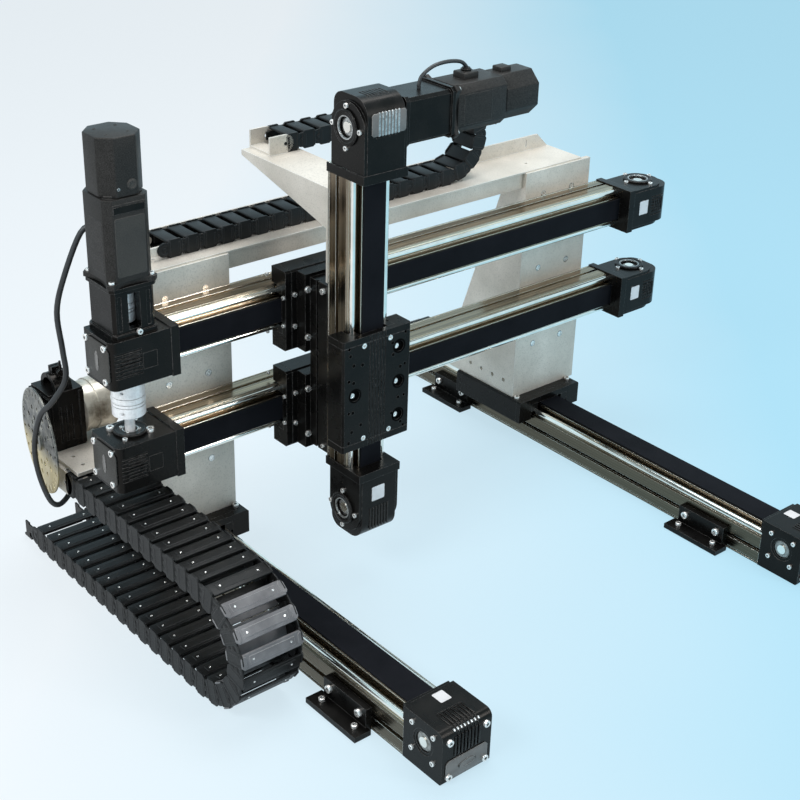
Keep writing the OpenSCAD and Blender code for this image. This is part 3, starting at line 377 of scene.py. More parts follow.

# per axis: bright and deep colours, the painted shade on the side faces, and which way those face
railLooks = {
    "x": {"bright": (0.62, 0.52, 0.39), "deep": (0.15, 0.12, 0.085), "side": (0.115, 0.092, 0.066),
          "axis": 0, "sideAxis": 1, "rough": (0.16, 0.34)},
    "y": {"bright": (1.0, 0.90, 0.76), "deep": (0.42, 0.32, 0.21), "side": (0.22, 0.17, 0.115),
          "axis": 1, "sideAxis": 2, "rough": (0.14, 0.30)},
    "z": {"bright": (0.90, 0.80, 0.66), "deep": (0.27, 0.21, 0.145), "side": (0.13, 0.10, 0.072),
          "axis": 2, "sideAxis": 1, "rough": (0.14, 0.30)},
}
railRubbed = (0.95, 0.88, 0.78)   # on the edges of all three


def railMetal(name, look):
    # drawn aluminium with fine lines along the axis, with painted shade darkening its sides
    g = Graph(name)
    fine, broad = [300.0] * 3, [75.0] * 3
    fine[look["axis"]] = 1.2
    broad[look["axis"]] = 0.5
    lines = g.noise(g.stretch(fine), 1.0, 4.0, 0.6)
    bands = g.noise(g.stretch(broad), 1.0, 3.0, 0.5)
    rounded, edge = g.edge(0.0009)
    color = g.ramp(bands, [(0.38, look["deep"]), (0.56, look["bright"])])
    # painted shade: faces along sideAxis take these darker side colours
    paintedSideShade = g.ramp(lines, [(0.40, look["side"]), (0.66, look["deep"])])
    shade = g.spread(g.facing(look["sideAxis"]), 0.0, 1.0, 0.5, 0.8)
    color = g.blend(shade, color, paintedSideShade)
    color = g.blend(edge, color, railRubbed)
    return g.finish(**{
        "Base Color": color,
        "Metallic": 1.0,
        "Roughness": g.spread(lines, *look["rough"]),
        "Normal": g.bump(lines, 0.22, 0.00005, rounded),
    })


shaftLook = {"bright": (1.0, 0.95, 0.88), "dim": (0.80, 0.75, 0.68), "rough": (0.08, 0.2)}


def brightShaft(name, look):
    g = Graph(name)
    patch = g.noise(g.object, 18.0, 4.0)
    fine = g.noise(g.object, 900.0, 2.0)
    return g.finish(**{
        "Base Color": g.ramp(patch, [(0.3, look["dim"]), (0.65, look["bright"])]),
        "Metallic": 1.0,
        "Roughness": g.spread(fine, *look["rough"]),
    })


screwLook = {"bright": (0.95, 0.91, 0.87), "dim": (0.64, 0.61, 0.58), "rough": (0.16, 0.34), "metal": 0.75}
dullLook = {**screwLook, "bright": (0.50, 0.50, 0.49), "dim": (0.22, 0.22, 0.215)}
bearingLook = {**screwLook, "bright": (0.34, 0.33, 0.31), "dim": (0.17, 0.165, 0.155), "rough": (0.30, 0.50)}
couplingLook = {"bright": (0.86, 0.86, 0.86), "dim": (0.72, 0.72, 0.72), "rough": (0.3, 0.45), "metal": 0.35}


def screwSteel(name, look):
    g = Graph(name)
    patch = g.noise(g.object, 240.0, 3.0)
    rounded, edge = g.edge(0.0005)
    return g.finish(**{
        "Base Color": g.ramp(patch, [(0.3, look["dim"]), (0.6, look["bright"])]),
        "Metallic": look["metal"],
        "Roughness": g.spread(patch, *look["rough"]),
        "Normal": rounded,
    })


beltLook = {"color": (0.0040, 0.0044, 0.0062), "dusty": (0.0078, 0.0083, 0.0110), "rough": (0.6, 0.85),
            "shine": 0.08}


def beltRubber(name, look):
    g = Graph(name)
    fine = g.noise(g.object, 1800.0, 2.0)
    patch = g.noise(g.object, 14.0, 4.0)
    return g.finish(**{
        "Base Color": g.blend(g.spread(patch, 0.0, 1.0), look["color"], look["dusty"]),
        "Roughness": g.spread(fine, *look["rough"]),
        "Specular IOR Level": look["shine"],
        "Normal": g.bump(fine, 0.4, 0.00005),
    })


plateLook = {"bright": (0.76, 0.71, 0.635), "dim": (0.54, 0.50, 0.435), "fleck": (0.30, 0.28, 0.245),
             "rubbed": (0.85, 0.84, 0.82), "metal": 0.35, "rough": (0.40, 0.6)}


def plateSilver(name, look):
    g = Graph(name)
    blasted = g.noise(g.object, 1100.0, 2.0)
    patch = g.noise(g.object, 9.0, 5.0)
    flecks = g.noise(g.object, 420.0, 2.0)
    rounded, edge = g.edge(0.0012)
    color = g.ramp(patch, [(0.3, look["dim"]), (0.7, look["bright"])])
    color = g.blend(g.spread(flecks, 0.0, 0.35, 0.52, 0.68), color, look["fleck"])
    return g.finish(**{
        "Base Color": g.blend(edge, color, look["rubbed"]),
        "Metallic": look["metal"],
        "Roughness": g.spread(blasted, *look["rough"]),
        "Normal": g.bump(blasted, 0.5, 0.00012, rounded),
    })


wornLook = {"bright": (0.58, 0.54, 0.47), "stain": (0.20, 0.165, 0.125), "rough": (0.62, 0.3), "metal": 0.7}


def wornSteel(name, look):
    g = Graph(name)
    patch = g.noise(g.object, 22.0, 6.0, 0.65)
    fine = g.noise(g.object, 420.0, 3.0)
    rounded, edge = g.edge(0.0012)
    return g.finish(**{
        "Base Color": g.ramp(patch, [(0.36, look["stain"]), (0.56, look["bright"])]),
        "Metallic": look["metal"],
        "Roughness": g.spread(patch, *look["rough"]),
        "Normal": g.bump(fine, 0.3, 0.0001, rounded),
    })


discLook = {"dark": (0.035, 0.034, 0.032), "metal": (0.30, 0.29, 0.26), "brass": (0.52, 0.43, 0.24),
            "rubbed": (0.6, 0.58, 0.5), "from": 0.245, "to": 0.215,   # heights between which brass shows
            "metallic": 0.6, "rough": (0.3, 0.55)}


def discMetal(name, look):
    # worn plating that has gone down to brass at the bottom
    g = Graph(name)
    patch = g.noise(g.object, 60.0, 5.0, 0.7)
    split = g.node("ShaderNodeSeparateXYZ", Vector=g.object)
    low = g.spread(split.outputs[2], 0.0, 1.0, look["from"], look["to"])
    plated = g.ramp(patch, [(0.42, look["dark"]), (0.66, look["metal"])])
    rounded, edge = g.edge(0.0008)
    color = g.blend(low, plated, look["brass"])
    return g.finish(**{
        "Base Color": g.blend(g.sum("MULTIPLY", edge, 0.7), color, look["rubbed"]),
        "Metallic": look["metallic"],
        "Roughness": g.spread(patch, *look["rough"]),
        "Normal": rounded,
    })


chainLook = {"color": (0.0045, 0.0044, 0.0043), "dusty": (0.011, 0.0108, 0.0105), "wearAndHighlight": (0.06, 0.06, 0.06),
             "rough": (0.34, 0.55), "shine": 0.22}
chainGreyLook = {**chainLook, "color": (0.10, 0.10, 0.105), "dusty": (0.19, 0.19, 0.195),
                 "wearAndHighlight": (0.45, 0.45, 0.45), "rough": (0.34, 0.5)}


def chainPlastic(name, look):
    g = Graph(name)
    fine = g.noise(g.object, 700.0, 3.0)
    patch = g.noise(g.object, 30.0, 4.0)
    rounded, edge = g.edge(0.0008)
    base = g.blend(g.spread(patch, 0.0, 1.0), look["color"], look["dusty"])
    return g.finish(**{
        "Base Color": g.blend(g.sum("MULTIPLY", edge, 0.55), base, look["wearAndHighlight"]),
        "Roughness": g.spread(fine, *look["rough"]),
        "Specular IOR Level": look["shine"],
        "Normal": g.bump(fine, 0.3, 0.00008, rounded),
    })


def plainPlastic(name, color, dusty, rough, shine=0.5):
    g = Graph(name)
    fine = g.noise(g.object, 900.0, 2.0)
    patch = g.noise(g.object, 40.0, 3.0)
    return g.finish(**{
        "Base Color": g.blend(g.spread(patch, 0.0, 1.0), color, dusty),
        "Roughness": g.spread(patch, rough, rough + 0.12),
        "Specular IOR Level": shine,
        "Normal": g.bump(fine, 0.2, 0.00004),
    })


black = blackMetal("housingBlack", blackMetalLook)
motorBlack = blackMetal("motorBlack", motorLook, 900.0, 0.0001)
panelGrey = blackMetal("panelGrey", panelLook, 1000.0, 0.0001)
sheenPaintedBlack = blackMetal("sheenPaintedBlack", sheenPaintedLook)
holeShadeBlack = plainPlastic("holeShadeBlack", (0.0012, 0.0012, 0.0012), (0.0018, 0.0018, 0.0018), 0.8, 0.04)
steel = screwSteel("screwSteel", screwLook)
dullSteel = screwSteel("dullSteel", dullLook)
bearingGrey = screwSteel("bearingGrey", bearingLook)
chainBlack = chainPlastic("chainPlastic", chainLook)
chainGrey = chainPlastic("chainGrey", chainGreyLook)
labelWhite = plainPlastic("labelFilm", (0.58, 0.59, 0.60), (0.68, 0.69, 0.70), 0.35)
cableBlack = plainPlastic("cableJacket", (0.010, 0.010, 0.011), (0.022, 0.022, 0.022), 0.42)
finishes = {
    "black_metal": black,
    "motor_black": motorBlack,
    "bright_shaft": brightShaft("groundShaft", shaftLook),
    "screw_steel": steel,
    "belt_black": beltRubber("beltRubber", beltLook),
    "plate_silver": plateSilver("blastedPlate", plateLook),
    "worn_steel": wornSteel("stainedSteel", wornLook),
    "chain_black": chainBlack,
    "cable_black": cableBlack,
}
railFinishes = {axis: railMetal("drawnRail" + axis.upper(), look) for axis, look in railLooks.items()}
slotOf = {row["node"]: row["material_slot"] for row in frame["record"]["subparts"]}
for nodeName, slotName in slotOf.items():
    finish = railFinishes[nodeName[0]] if slotName == "rail_metal" else finishes[slotName]
    paint(bpy.data.objects[nodeName], finish)
paint(bpy.data.objects["slotted_disc"], discMetal("discPlating", discLook))
coupling = screwSteel("couplingAlloy", couplingLook)
for nodeName in ("y_drive_shaft", "x_drive_shaft"):
    paint(bpy.data.objects[nodeName], coupling)
print("materials set")


# cables
def curvePoints(points, steps):
    # points on the smooth curve that passes through the given ones
    path = []
    last = len(points) - 1
    for i in range(last):
        a, b = Vector(points[max(i - 1, 0)]), Vector(points[i])
        c, e = Vector(points[i + 1]), Vector(points[min(i + 2, last)])
        for k in range(steps):
            t = k / steps
            path.append(0.5 * (2 * b + (c - a) * t + (2 * a - 5 * b + 4 * c - e) * t * t
                               + (3 * b - a - 3 * c + e) * t * t * t))
    path.append(Vector(points[last]))
    return path


def makeCable(name, points, radius, node, body):
    # points and radius in millimetres
    path = curvePoints([[v / 1000 for v in p] for p in points], 5)
    data = bpy.data.curves.new(name, "CURVE")
    data.dimensions = "3D"
    data.bevel_depth = radius / 1000
    data.bevel_resolution = 3
    data.use_fill_caps = True
    line = data.splines.new("POLY")
    line.points.add(len(path) - 1)
    for point, at in zip(line.points, path):
        point.co = (*at, 1)
    cable = bpy.data.objects.new(name, data)
    scene.collection.objects.link(cable)
    data.materials.append(cableBlack)
    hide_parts(node)
    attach(cable, body)


# places that several pieces share, in millimetres
beltX = -92.8
driveY = -544.0
motorZ = 577.1
beltFaceX = 49.89
zMotorY = -158.98
driveZ = 784.0
plug = (beltX - 48, driveY, motorZ + 62.952)   # on the motor, with the first points straight out of it
motorRoute = [plug, (plug[0] - 6, plug[1], plug[2]), (plug[0] - 12, plug[1], plug[2]),
              (plug[0] - 25, plug[1] - 20, plug[2] - 12),
              (-176, -592, 560), (-192, -600, 500), (-184, -600, 440), (-186, -598, 390), (-206, -614, 346),
              (-236, -622, 312), (-262, -624, 250), (-258, -624, 200), (-240, -618, 156), (-236, -604, 142),
              (-242, -582, 150), (-246, -566, 172), (-232, -558, 190), (-206, -556, 190)]
makeCable("motorCable", motorRoute, 4.5, "y_motor_cable", "bridge")
topPlug = (beltFaceX, zMotorY + 96 + 53.448, driveZ + 48)
inlet = (beltFaceX, zMotorY + 55.68, 819.5)    # on the adapter
topRoute = [topPlug, (topPlug[0], topPlug[1], topPlug[2] + 3), (topPlug[0], topPlug[1], topPlug[2] + 6),
            (topPlug[0], topPlug[1] - 12, topPlug[2] + 15), (topPlug[0], topPlug[1] - 38, topPlug[2] + 19),
            (inlet[0], inlet[1] + 28, inlet[2] + 29), (inlet[0], inlet[1] + 6, inlet[2] + 18),
            (inlet[0], inlet[1], inlet[2] + 6), (inlet[0], inlet[1], inlet[2] + 3), inlet]
makeCable("upperCable", topRoute, 3, "z_cable", "saddle")
print("cables made")


# screws: one pattern, set on every seat that the CAD has
screwSizes = {"wider": 1.3, "high": 1.1, "dome": 0.16, "socket": 0.46, "socketDepth": 0.5}


def makeScrewPattern(size):
    # a head one high and one in radius, with a rounded rim and a socket
    deselectAll()
    bpy.ops.mesh.primitive_cylinder_add(vertices=20, radius=1, depth=1, location=(0, 0, 0.5))
    obj = bpy.context.object
    bpy.ops.object.transform_apply(location=True, rotation=True, scale=True)
    pickEdges(obj, lambda a, b: a.z > 0.99 and b.z > 0.99)
    bpy.ops.mesh.bevel(offset=size["dome"], segments=2)
    pickFaces(obj, lambda c, n: n.z > 0.9 and c.z > 0.99 and c.xy.length < 0.01)
    bpy.ops.mesh.inset(thickness=1 - size["dome"] - size["socket"])
    bpy.ops.mesh.extrude_region_move(TRANSFORM_OT_translate={"value": (0, 0, -size["socketDepth"])})
    bpy.ops.object.mode_set(mode="OBJECT")
    # the socket is painted in the darker steel, as painted shade in it
    return paint(obj, steel, dullSteel, choose=lambda c, n: 1 if c.z < 0.99 and c.xy.length < 0.5 else 0)


screwPattern = makeScrewPattern(screwSizes)


def screwAt(place, outward, radius, height=None):
    up = (0, 0, 1) if abs(outward[2]) < 0.9 else (1, 0, 0)
    size = Matrix.Diagonal((radius, radius, height or radius * 1.05, 1))
    return copyPiece(screwPattern, faceFrame(place, outward, up) @ size)


def screwSeats(node):
    # place, direction and radius of each screw head in a CAD node
    mesh = bmesh.new()
    mesh.from_mesh(bpy.data.objects[node].data)
    bmesh.ops.remove_doubles(mesh, verts=mesh.verts, dist=1e-6)
    left = set(mesh.verts)
    seats = []
    while left:
        stack = [left.pop()]
        island = []
        while stack:
            vert = stack.pop()
            island.append(vert.co.copy())
            for link in vert.link_edges:
                other = link.other_vert(vert)
                if other in left:
                    left.remove(other)
                    stack.append(other)
        lowest = Vector([min(p[k] for p in island) for k in range(3)])
        highest = Vector([max(p[k] for p in island) for k in range(3)])
        size, middle = highest - lowest, (highest + lowest) / 2
        order = sorted(range(3), key=lambda k: size[k])
        axis = order[2] if size[order[1]] - size[order[0]] < size[order[2]] - size[order[1]] else order[0]
        others = [k for k in range(3) if k != axis]
        reach = [0.0, 0.0]
        for p in island:
            far = max(abs(p[k] - middle[k]) for k in others)
            for end, at in ((0, lowest[axis]), (1, highest[axis])):
                if abs(p[axis] - at) < 0.1 * size[axis]:
                    reach[end] = max(reach[end], far)
        end = 1 if reach[1] >= reach[0] - 1e-6 else 0
        radius = reach[end]
        outward = Vector((0, 0, 0))
        outward[axis] = 1 if end else -1
        seat = middle.copy()
        seat[axis] = (highest if end else lowest)[axis]
        seats.append((seat - outward * radius * screwSizes["high"], outward, radius))
    mesh.free()
    return sorted(seats, key=lambda s: tuple(round(v, 5) for v in s[0]))


screws = {
    node: [screwAt(at, out, r * screwSizes["wider"], r * screwSizes["high"]) for at, out, r in screwSeats(node)]
    for node in ("base_screws", "bridge_screws", "saddle_screws")
}
foot = {"x": 0.334, "hole": 0.039, "y": 0.4, "out": 0.069, "top": 0.009, "radius": 0.0052}
for end in (-1, 1):
    for rail in (-1, 1):
        for side in (-1, 1):
            for hole in (-1, 1):
                at = (end * foot["x"] + hole * foot["hole"], rail * foot["y"] + side * foot["out"], foot["top"])
                screws["base_screws"].append(screwAt(at, (0, 0, 1), foot["radius"]))
saddleScrews = {
    "beams": (0.458, 0.283), "endY": -0.271, "longY": -0.239, "longX": -0.004,
    "ends": ((-0.110, 0.050, 0.0032), (-0.0655, 0.024, 0.0034)),   # x, way up or down from the beam, radius
    "long": ((0.507, 0.0050), (0.232, 0.0036)),                    # height, radius
}
for z in saddleScrews["beams"]:
    for s in (-1, 1):
        for x, away, radius in saddleScrews["ends"]:
            at = (x, saddleScrews["endY"], z + s * away)
            screws["saddle_screws"].append(screwAt(at, (0, -1, 0), radius))
for z, radius in saddleScrews["long"]:
    at = (saddleScrews["longX"], saddleScrews["longY"], z)
    screws["saddle_screws"].append(screwAt(at, (0, -1, 0), radius))
print("screws set:", sum(len(parts) for parts in screws.values()))


# cable chains: one link modelled, copied along the two runs and the bend between them
chainSizes = {
    "x": {"node": "x_cable_chain", "pitch": 0.033, "height": 0.042, "width": 0.106, "lower": 16, "bend": 8,
          "upper": 12, "turn": (0.178, -0.545, 0.021), "spin": 0.0, "bar": 0.74, "bevel": 0.0009,
          "bodies": ("base", "bridge"), "lowFar": -0.350, "upFar": -0.218, "axis": 0, "grey": (4, 5, 6, 1)},
    "y": {"node": "y_cable_chain", "pitch": 0.033, "height": 0.030, "width": 0.056, "lower": 18, "bend": 6,
          "upper": 11, "turn": (-0.196, 0.172, 0.565), "spin": 90.0, "bar": 0.70, "bevel": 0.0026,
          "bodies": ("bridge", "saddle"), "lowFar": -0.422, "upFar": -0.191, "axis": 1, "grey": ()},
}
dottedBar = 0.72   # bars longer than this share of the pitch have a ridge and dots


def makeLink(size, barFinish, clips):
    p, h, w = size["pitch"], size["height"], size["width"]
    parts = []
    for s in (-1, 1):
        plate = addBlock((p * 0.80, 0.003, h), (p * 0.08, s * (w / 2 - 0.0015), 0), 0, 2, h * 0.14, 1, 1)
        roundEdges(plate, 0.0005, 1)
        lug = addTurned(h * 0.40, 0.0022, [(h * 0.16, -0.0005), (h * 0.13, 0.0008)], 20, 0.0003)
        moved(lug, faceFrame((-p / 2, s * (w / 2 - 0.0028), 0), (0, s, 0), (0, 0, 1)))
        rib = addBlock((p * 0.12, 0.0014, h * 0.84), (-p * 0.24, s * (w / 2 - 0.0002), 0), 0.0005, 1)
        web = addBlock((p * 0.10, 0.0012, h * 0.62), (p * 0.30, s * (w / 2 - 0.0002), 0), 0.0004, 1)
        inner = addBlock((p * 0.72, 0.003, h * 0.44), (p * 0.20, s * (w / 2 - 0.0052), 0), 0.0004, 1)
        parts += [paint(o, chainBlack) for o in (plate, lug, rib, web, inner)]
    for s in (-1, 1):
        bar = addBlock((p * size["bar"], w - 0.0062, 0.004), (0, 0, s * (h / 2 - 0.0034)), size["bevel"], 3)
        parts.append(paint(bar, barFinish))
        if size["bar"] > dottedBar:
            ridge = addBlock((p * 0.40, w * 0.74, 0.0012), (p * 0.02, 0, s * (h / 2 - 0.0013)), 0.0004, 1)
            parts.append(paint(ridge, barFinish))
            for side in (-1, 1):
                dot = addTurned(0.0016, 0.0008, [(0.0006, -0.0004)], 10)
                moved(dot, faceFrame((p * 0.02, side * w * 0.31, s * (h / 2 - 0.0009)), (0, 0, s), (1, 0, 0)))
                parts.append(paint(dot, steel))
                if clips:
                    clip = addBlock((p * 0.62, 0.009, 0.0022), (0, side * (w / 2 - 0.0035), s * (h / 2 - 0.0012)),
                                    0.0006, 1, 0.003, 2)
                    parts.append(paint(clip, barFinish))
    return joinPieces(parts, "link")


def runBlend(piece, size, near, far):
    # bakes the run's transform into its mesh; the points from near to far along its axis are worked out but not used
    for at in (near, far):
        point = list(size["turn"])
        point[size["axis"]] = at
    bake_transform(piece)


def makeChain(name, size):
    p, n = size["pitch"], size["bend"]
    radius = p / 2 / math.sin(math.pi / 2 / n)
    middle = radius * math.cos(math.pi / 2 / n)
    start = Matrix.Translation(size["turn"]) @ Matrix.Rotation(math.radians(size["spin"]), 4, "Z")
    dark = makeLink(size, chainBlack, False)
    light = makeLink(size, chainGrey, True) if size["grey"] else dark
    lower = [copyPiece(dark, start @ Matrix.Translation(((0.5 - i) * p, 0, 0)))
             for i in range(1, size["lower"] + 1)]
    bend = []
    for j in range(n):
        a = (j + 0.5) * math.pi / n
        at = Matrix.Translation((middle * math.sin(a), 0, radius - middle * math.cos(a)))
        pattern = light if j in size["grey"] else dark
        bend.append(copyPiece(pattern, start @ at @ Matrix.Rotation(-a, 4, "Y")))
    upper = [copyPiece(dark, start @ Matrix.Translation(((0.5 - i) * p, 0, 2 * radius))
                       @ Matrix.Rotation(math.pi, 4, "Y")) for i in range(1, size["upper"] + 1)]
    turn = size["turn"][size["axis"]]
    far = 100.0   # the bend's ends are put this far either side of the turn
    rows = (("Lower", lower, size["lowFar"], 2 * turn - size["lowFar"]),
            ("Bend", bend, turn - far, turn + far),
            ("Upper", upper, 2 * turn - size["upFar"], size["upFar"]))
    for part, links, near, away in rows:
        piece = joinPieces(links, name + part)
        if part == "Bend":
            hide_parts(size["node"])
        runBlend(piece, size, near, away)
        print("made", piece.name)
    drop(*{dark, light})


makeChain("xChain", chainSizes["x"])
makeChain("yChain", chainSizes["y"])


# servo motors, drawn shaft down on z = 0 and then set in place
motorSizes = {
    "plate": 0.084, "plateThick": 0.008, "scoop": 0.070, "scoopDeep": 0.009,
    "body": 0.0745, "bodyCut": 0.011, "encoder": 0.0725, "encoderCut": 0.019,
    "rearShare": 0.6,   # how far along the encoder begins
}


def addServo(size, length):
    rear = length * size["rearShare"]
    body, enc = size["body"], size["encoder"]
    plate = addBlock((size["plate"], size["plate"], size["plateThick"]), (0, 0, size["plateThick"] / 2), 0, 2, 0.008)
    cutters = []
    for k in range(4):
        reach = size["plate"] / 2 + size["scoop"] - size["scoopDeep"]
        a = k * math.pi / 2
        deselectAll()
        bpy.ops.mesh.primitive_cylinder_add(vertices=64, radius=size["scoop"], depth=0.05,
                                            location=(reach * math.cos(a), reach * math.sin(a), 0))
        cutters.append(bpy.context.object)
    for cutter in cutters:
        mod = plate.modifiers.new("scoop", "BOOLEAN")
        mod.operation = "DIFFERENCE"
        mod.solver = "EXACT"
        mod.object = cutter
        bpy.context.view_layer.objects.active = plate
        bpy.ops.object.modifier_apply(modifier="scoop")
    drop(*cutters)
    roundEdges(plate, 0.0006, 1, 50)
    parts = [plate]
    base = size["plateThick"]
    parts.append(addBlock((body, body, rear - base), (0, 0, (rear + base) / 2), 0.001, 2, size["bodyCut"]))
    parts.append(addBlock((body - 0.012, body - 0.012, 0.006), (0, 0, rear + 0.001), 0.0005, 1, 0.008))
    top = length - 0.0005
    parts.append(addBlock((enc, enc, top - rear - 0.002), (0, 0, (top + rear + 0.002) / 2), 0.0016, 3,
                          size["encoderCut"]))
    for x in (-1, 1):
        for y in (-1, 1):
            parts.append(moved(addTurned(0.0026, 0.0006, [(0.0008, -0.0005)], 14),
                               Matrix.Translation((x * 0.017, y * 0.017, top - 0.0002))))
    parts = [paint(o, motorBlack) for o in parts]
    # label panel, dark band over it and round plug on the local +x face
    x = body / 2
    panelHigh = rear - base - 0.036
    panel = addBlock((0.0010, body - 0.026, panelHigh), (x + 0.0001, 0, base + 0.008 + panelHigh / 2),
                     0.0003, 1, 0.002, 0)
    band = addBlock((0.0014, body - 0.024, 0.011), (x, 0, rear - 0.016), 0.0004, 1)
    lip = addBlock((0.0020, body - 0.022, 0.0016), (x, 0, rear - 0.0085), 0.0004, 1)
    knob = moved(addTurned(0.0078, 0.0022, [(0.0012, 0.0008), (0.0016, -0.0004)], 24, 0.0003),
                 faceFrame((enc / 2 - 0.0012, 0.008, rear + 0.018), (1, 0, 0), (0, 0, 1)))
    small = moved(addTurned(0.0022, 0.002, [(0.0008, -0.001)], 12),
                  faceFrame((enc / 2 - 0.0012, -0.014, rear + 0.014), (1, 0, 0), (0, 0, 1)))
    parts += [paint(panel, panelGrey), paint(band, black), paint(lip, motorBlack), paint(knob, panelGrey),
              paint(small, dullSteel)]
    # the same kind of panel on the side faces, and the sockets at the back
    for s in (-1, 1):
        side = addBlock((body - 0.028, 0.0008, panelHigh * 0.9),
                        (0, s * x, base + 0.012 + panelHigh * 0.45), 0.0003, 1)
        parts.append(paint(side, motorBlack))
    socket = addBlock((0.013, 0.027, 0.030), (-x - 0.0040, 0, rear * 0.36 + 0.015), 0.0022, 2)
    collarDisc = moved(addTurned(0.0085, 0.004, [(0.002, 0.002)], 20, 0.0004),
                       faceFrame((-x - 0.0100, 0, rear * 0.36 + 0.015), (-1, 0, 0), (0, 0, 1)))
    second = addBlock((0.010, 0.021, 0.022), (-enc / 2 - 0.0030, 0, rear * 1.1 + 0.011), 0.002, 2)
    parts += [paint(o, motorBlack) for o in (socket, second)] + [paint(collarDisc, black)]
    return parts


def place(parts, matrix):
    return [moved(part, matrix) for part in parts]


yMotorPlace = Matrix.Translation((beltX / 1000, driveY / 1000, motorZ / 1000))
finishPiece(place(addServo(motorSizes, 0.222), yMotorPlace), "yServo", "bridge", "motor_black", "y_motor")
zMotorPlace = (Matrix.Translation((beltFaceX / 1000, zMotorY / 1000 + 0.096, driveZ / 1000))
               @ Matrix.Rotation(math.radians(-90), 4, "X") @ Matrix.Rotation(math.radians(90), 4, "Z"))
finishPiece(place(addServo(motorSizes, 0.178), zMotorPlace), "zServo", "saddle", "motor_black", "z_motor")


# end housings: rib caps in bright steel as worn tips and painted highlight, smooth lower plates in painted-sheen
# black, blank stickers, bearing discs and ring flanges
def addLabel(width, height):
    return paint(addBlock((width, height, 0.0004), (0, 0, 0.0002), 0.0001, 1, 0.0012), labelWhite)


def addRibs(count, pitch, length, width=0.0034, proud=0.0014):
    ribs = []
    for i in range(count):
        rib = addBlock((width, length, proud * 2), ((i - (count - 1) / 2) * pitch, 0, 0), 0.0006, 2)
        ribs.append(paint(rib, black))
    return ribs


def addBearingDisc(radius, dark):
    steps = [(0.0010, 0.0006), (radius * 0.42, -0.0006), (radius * 0.2, -0.0010)]
    rim = radius * 0.62
    return paint(addTurned(radius, 0.0024, steps, 40, 0.0002), bearingGrey, dullSteel,
                 choose=lambda c, n: 1 if c.xy.length > rim and not dark else 0)


def addRingFlange(outer, inner, proud):
    # a dark ring with a raised rim, open in the middle
    ring = addTurned(outer, proud, [(0.0016, 0.0008), (0.0030, -0.0008), (outer - inner - 0.0066, 0.0),
                                    (0.0020, -proud * 0.6)], 56, 0.0003)
    pickFaces(ring, lambda c, n: abs(n.z) > 0.9 and c.xy.length < 0.001)
    bpy.ops.mesh.delete(type="FACE")
    bpy.ops.object.mode_set(mode="OBJECT")
    rim = inner + 0.0016
    return paint(ring, black, dullSteel, choose=lambda c, n: 1 if c.xy.length < rim and n.z > -0.5 else 0)


def addOval(width, height):
    # its middle strip takes the painted-sheen black
    oval = addTurned(0.5, 0.001, [(0.08, 0.0004), (0.05, -0.0004)], 40)
    return paint(moved(oval, Matrix.Diagonal((width, height, 1, 1))), panelGrey, sheenPaintedBlack,
                 choose=lambda c, n: 1 if abs(c.x) < width * 0.4 and n.z > 0.5 else 0)


xHousing = {
    "endX": 0.538, "rail": 0.4, "halfWidth": 0.046, "top": 0.089, "axisX": 0.4975, "axisZ": 0.052,
    "ribs": 8, "ribPitch": 0.0064, "ribLong": 0.034, "ribZ": 0.060, "topRibX": 0.512, "topRibLong": 0.028,
    "plate": (0.078, 0.034), "plateZ": 0.022, "oval": (0.034, 0.013),
    "label": (0.020, 0.022), "labelX": 0.472, "labelIn": 0.009, "disc": 0.0152, "discDeep": 0.0052,
    "highlightCap": (0.0034, 0.0045, 0.0016), "capIn": 0.0030,   # bright steel caps where the ribs turn the top edge: worn tips and painted highlight
}
baseTrim, discs = [], {"x_drive_turning": [], "x_idler_left_turning": [], "x_idler_right_turning": []}
h = xHousing
for side in (-1, 1):
    for end in (-1, 1):
        face = faceFrame((end * h["endX"], side * h["rail"], 0), (end, 0, 0), (0, 0, 1))
        for rib in addRibs(h["ribs"], h["ribPitch"], h["ribLong"]):
            baseTrim.append(moved(rib, face @ Matrix.Translation((0, h["ribZ"], 0))))
        # the smooth lower plate is painted lighter, in the painted-sheen black
        plate = paint(addBlock((*h["plate"], 0.0016), (0, h["plateZ"], 0.0008), 0.0005, 2, 0.005), sheenPaintedBlack)
        oval = moved(addOval(*h["oval"]), Matrix.Translation((0, h["plateZ"], 0.0014)))
        baseTrim += [moved(plate, face), moved(oval, face)]
        edge = faceFrame((end * (h["endX"] - h["capIn"]), side * h["rail"], h["top"] - h["capIn"]),
                         (end, 0, 1), (-end, 0, 1))
        for k in range(h["ribs"]):
            along = (k - (h["ribs"] - 1) / 2) * h["ribPitch"]
            highlightCap = addBlock(h["highlightCap"], (along, 0, -0.0004), 0.0005, 2)
            baseTrim.append(moved(paint(highlightCap, dullSteel), edge))
        top = faceFrame((end * h["topRibX"], side * h["rail"], h["top"]), (0, 0, 1), (end, 0, 0))
        for rib in addRibs(h["ribs"], h["ribPitch"], h["topRibLong"], proud=0.0009):
            baseTrim.append(moved(rib, top))
        if end > 0:
            at = (h["labelX"], side * h["rail"] + h["labelIn"], h["top"])
            baseTrim.append(moved(addLabel(*h["label"]), faceFrame(at, (0, 0, 1), (1, 0, 0))))
        body = "x_drive_turning" if end < 0 else "x_idler_left_turning" if side < 0 else "x_idler_right_turning"
        for out in (-1, 1):
            at = (end * h["axisX"], side * h["rail"] + out * (h["halfWidth"] - h["discDeep"]), h["axisZ"])
            discs[body].append(moved(addBearingDisc(h["disc"], True), faceFrame(at, (0, out, 0), (0, 0, 1))))
finishPiece(baseTrim, "xHousingTrim", "base", "black_metal")
for body, parts in discs.items():
    finishPiece(parts, body + "Disc", body, "bright_shaft")

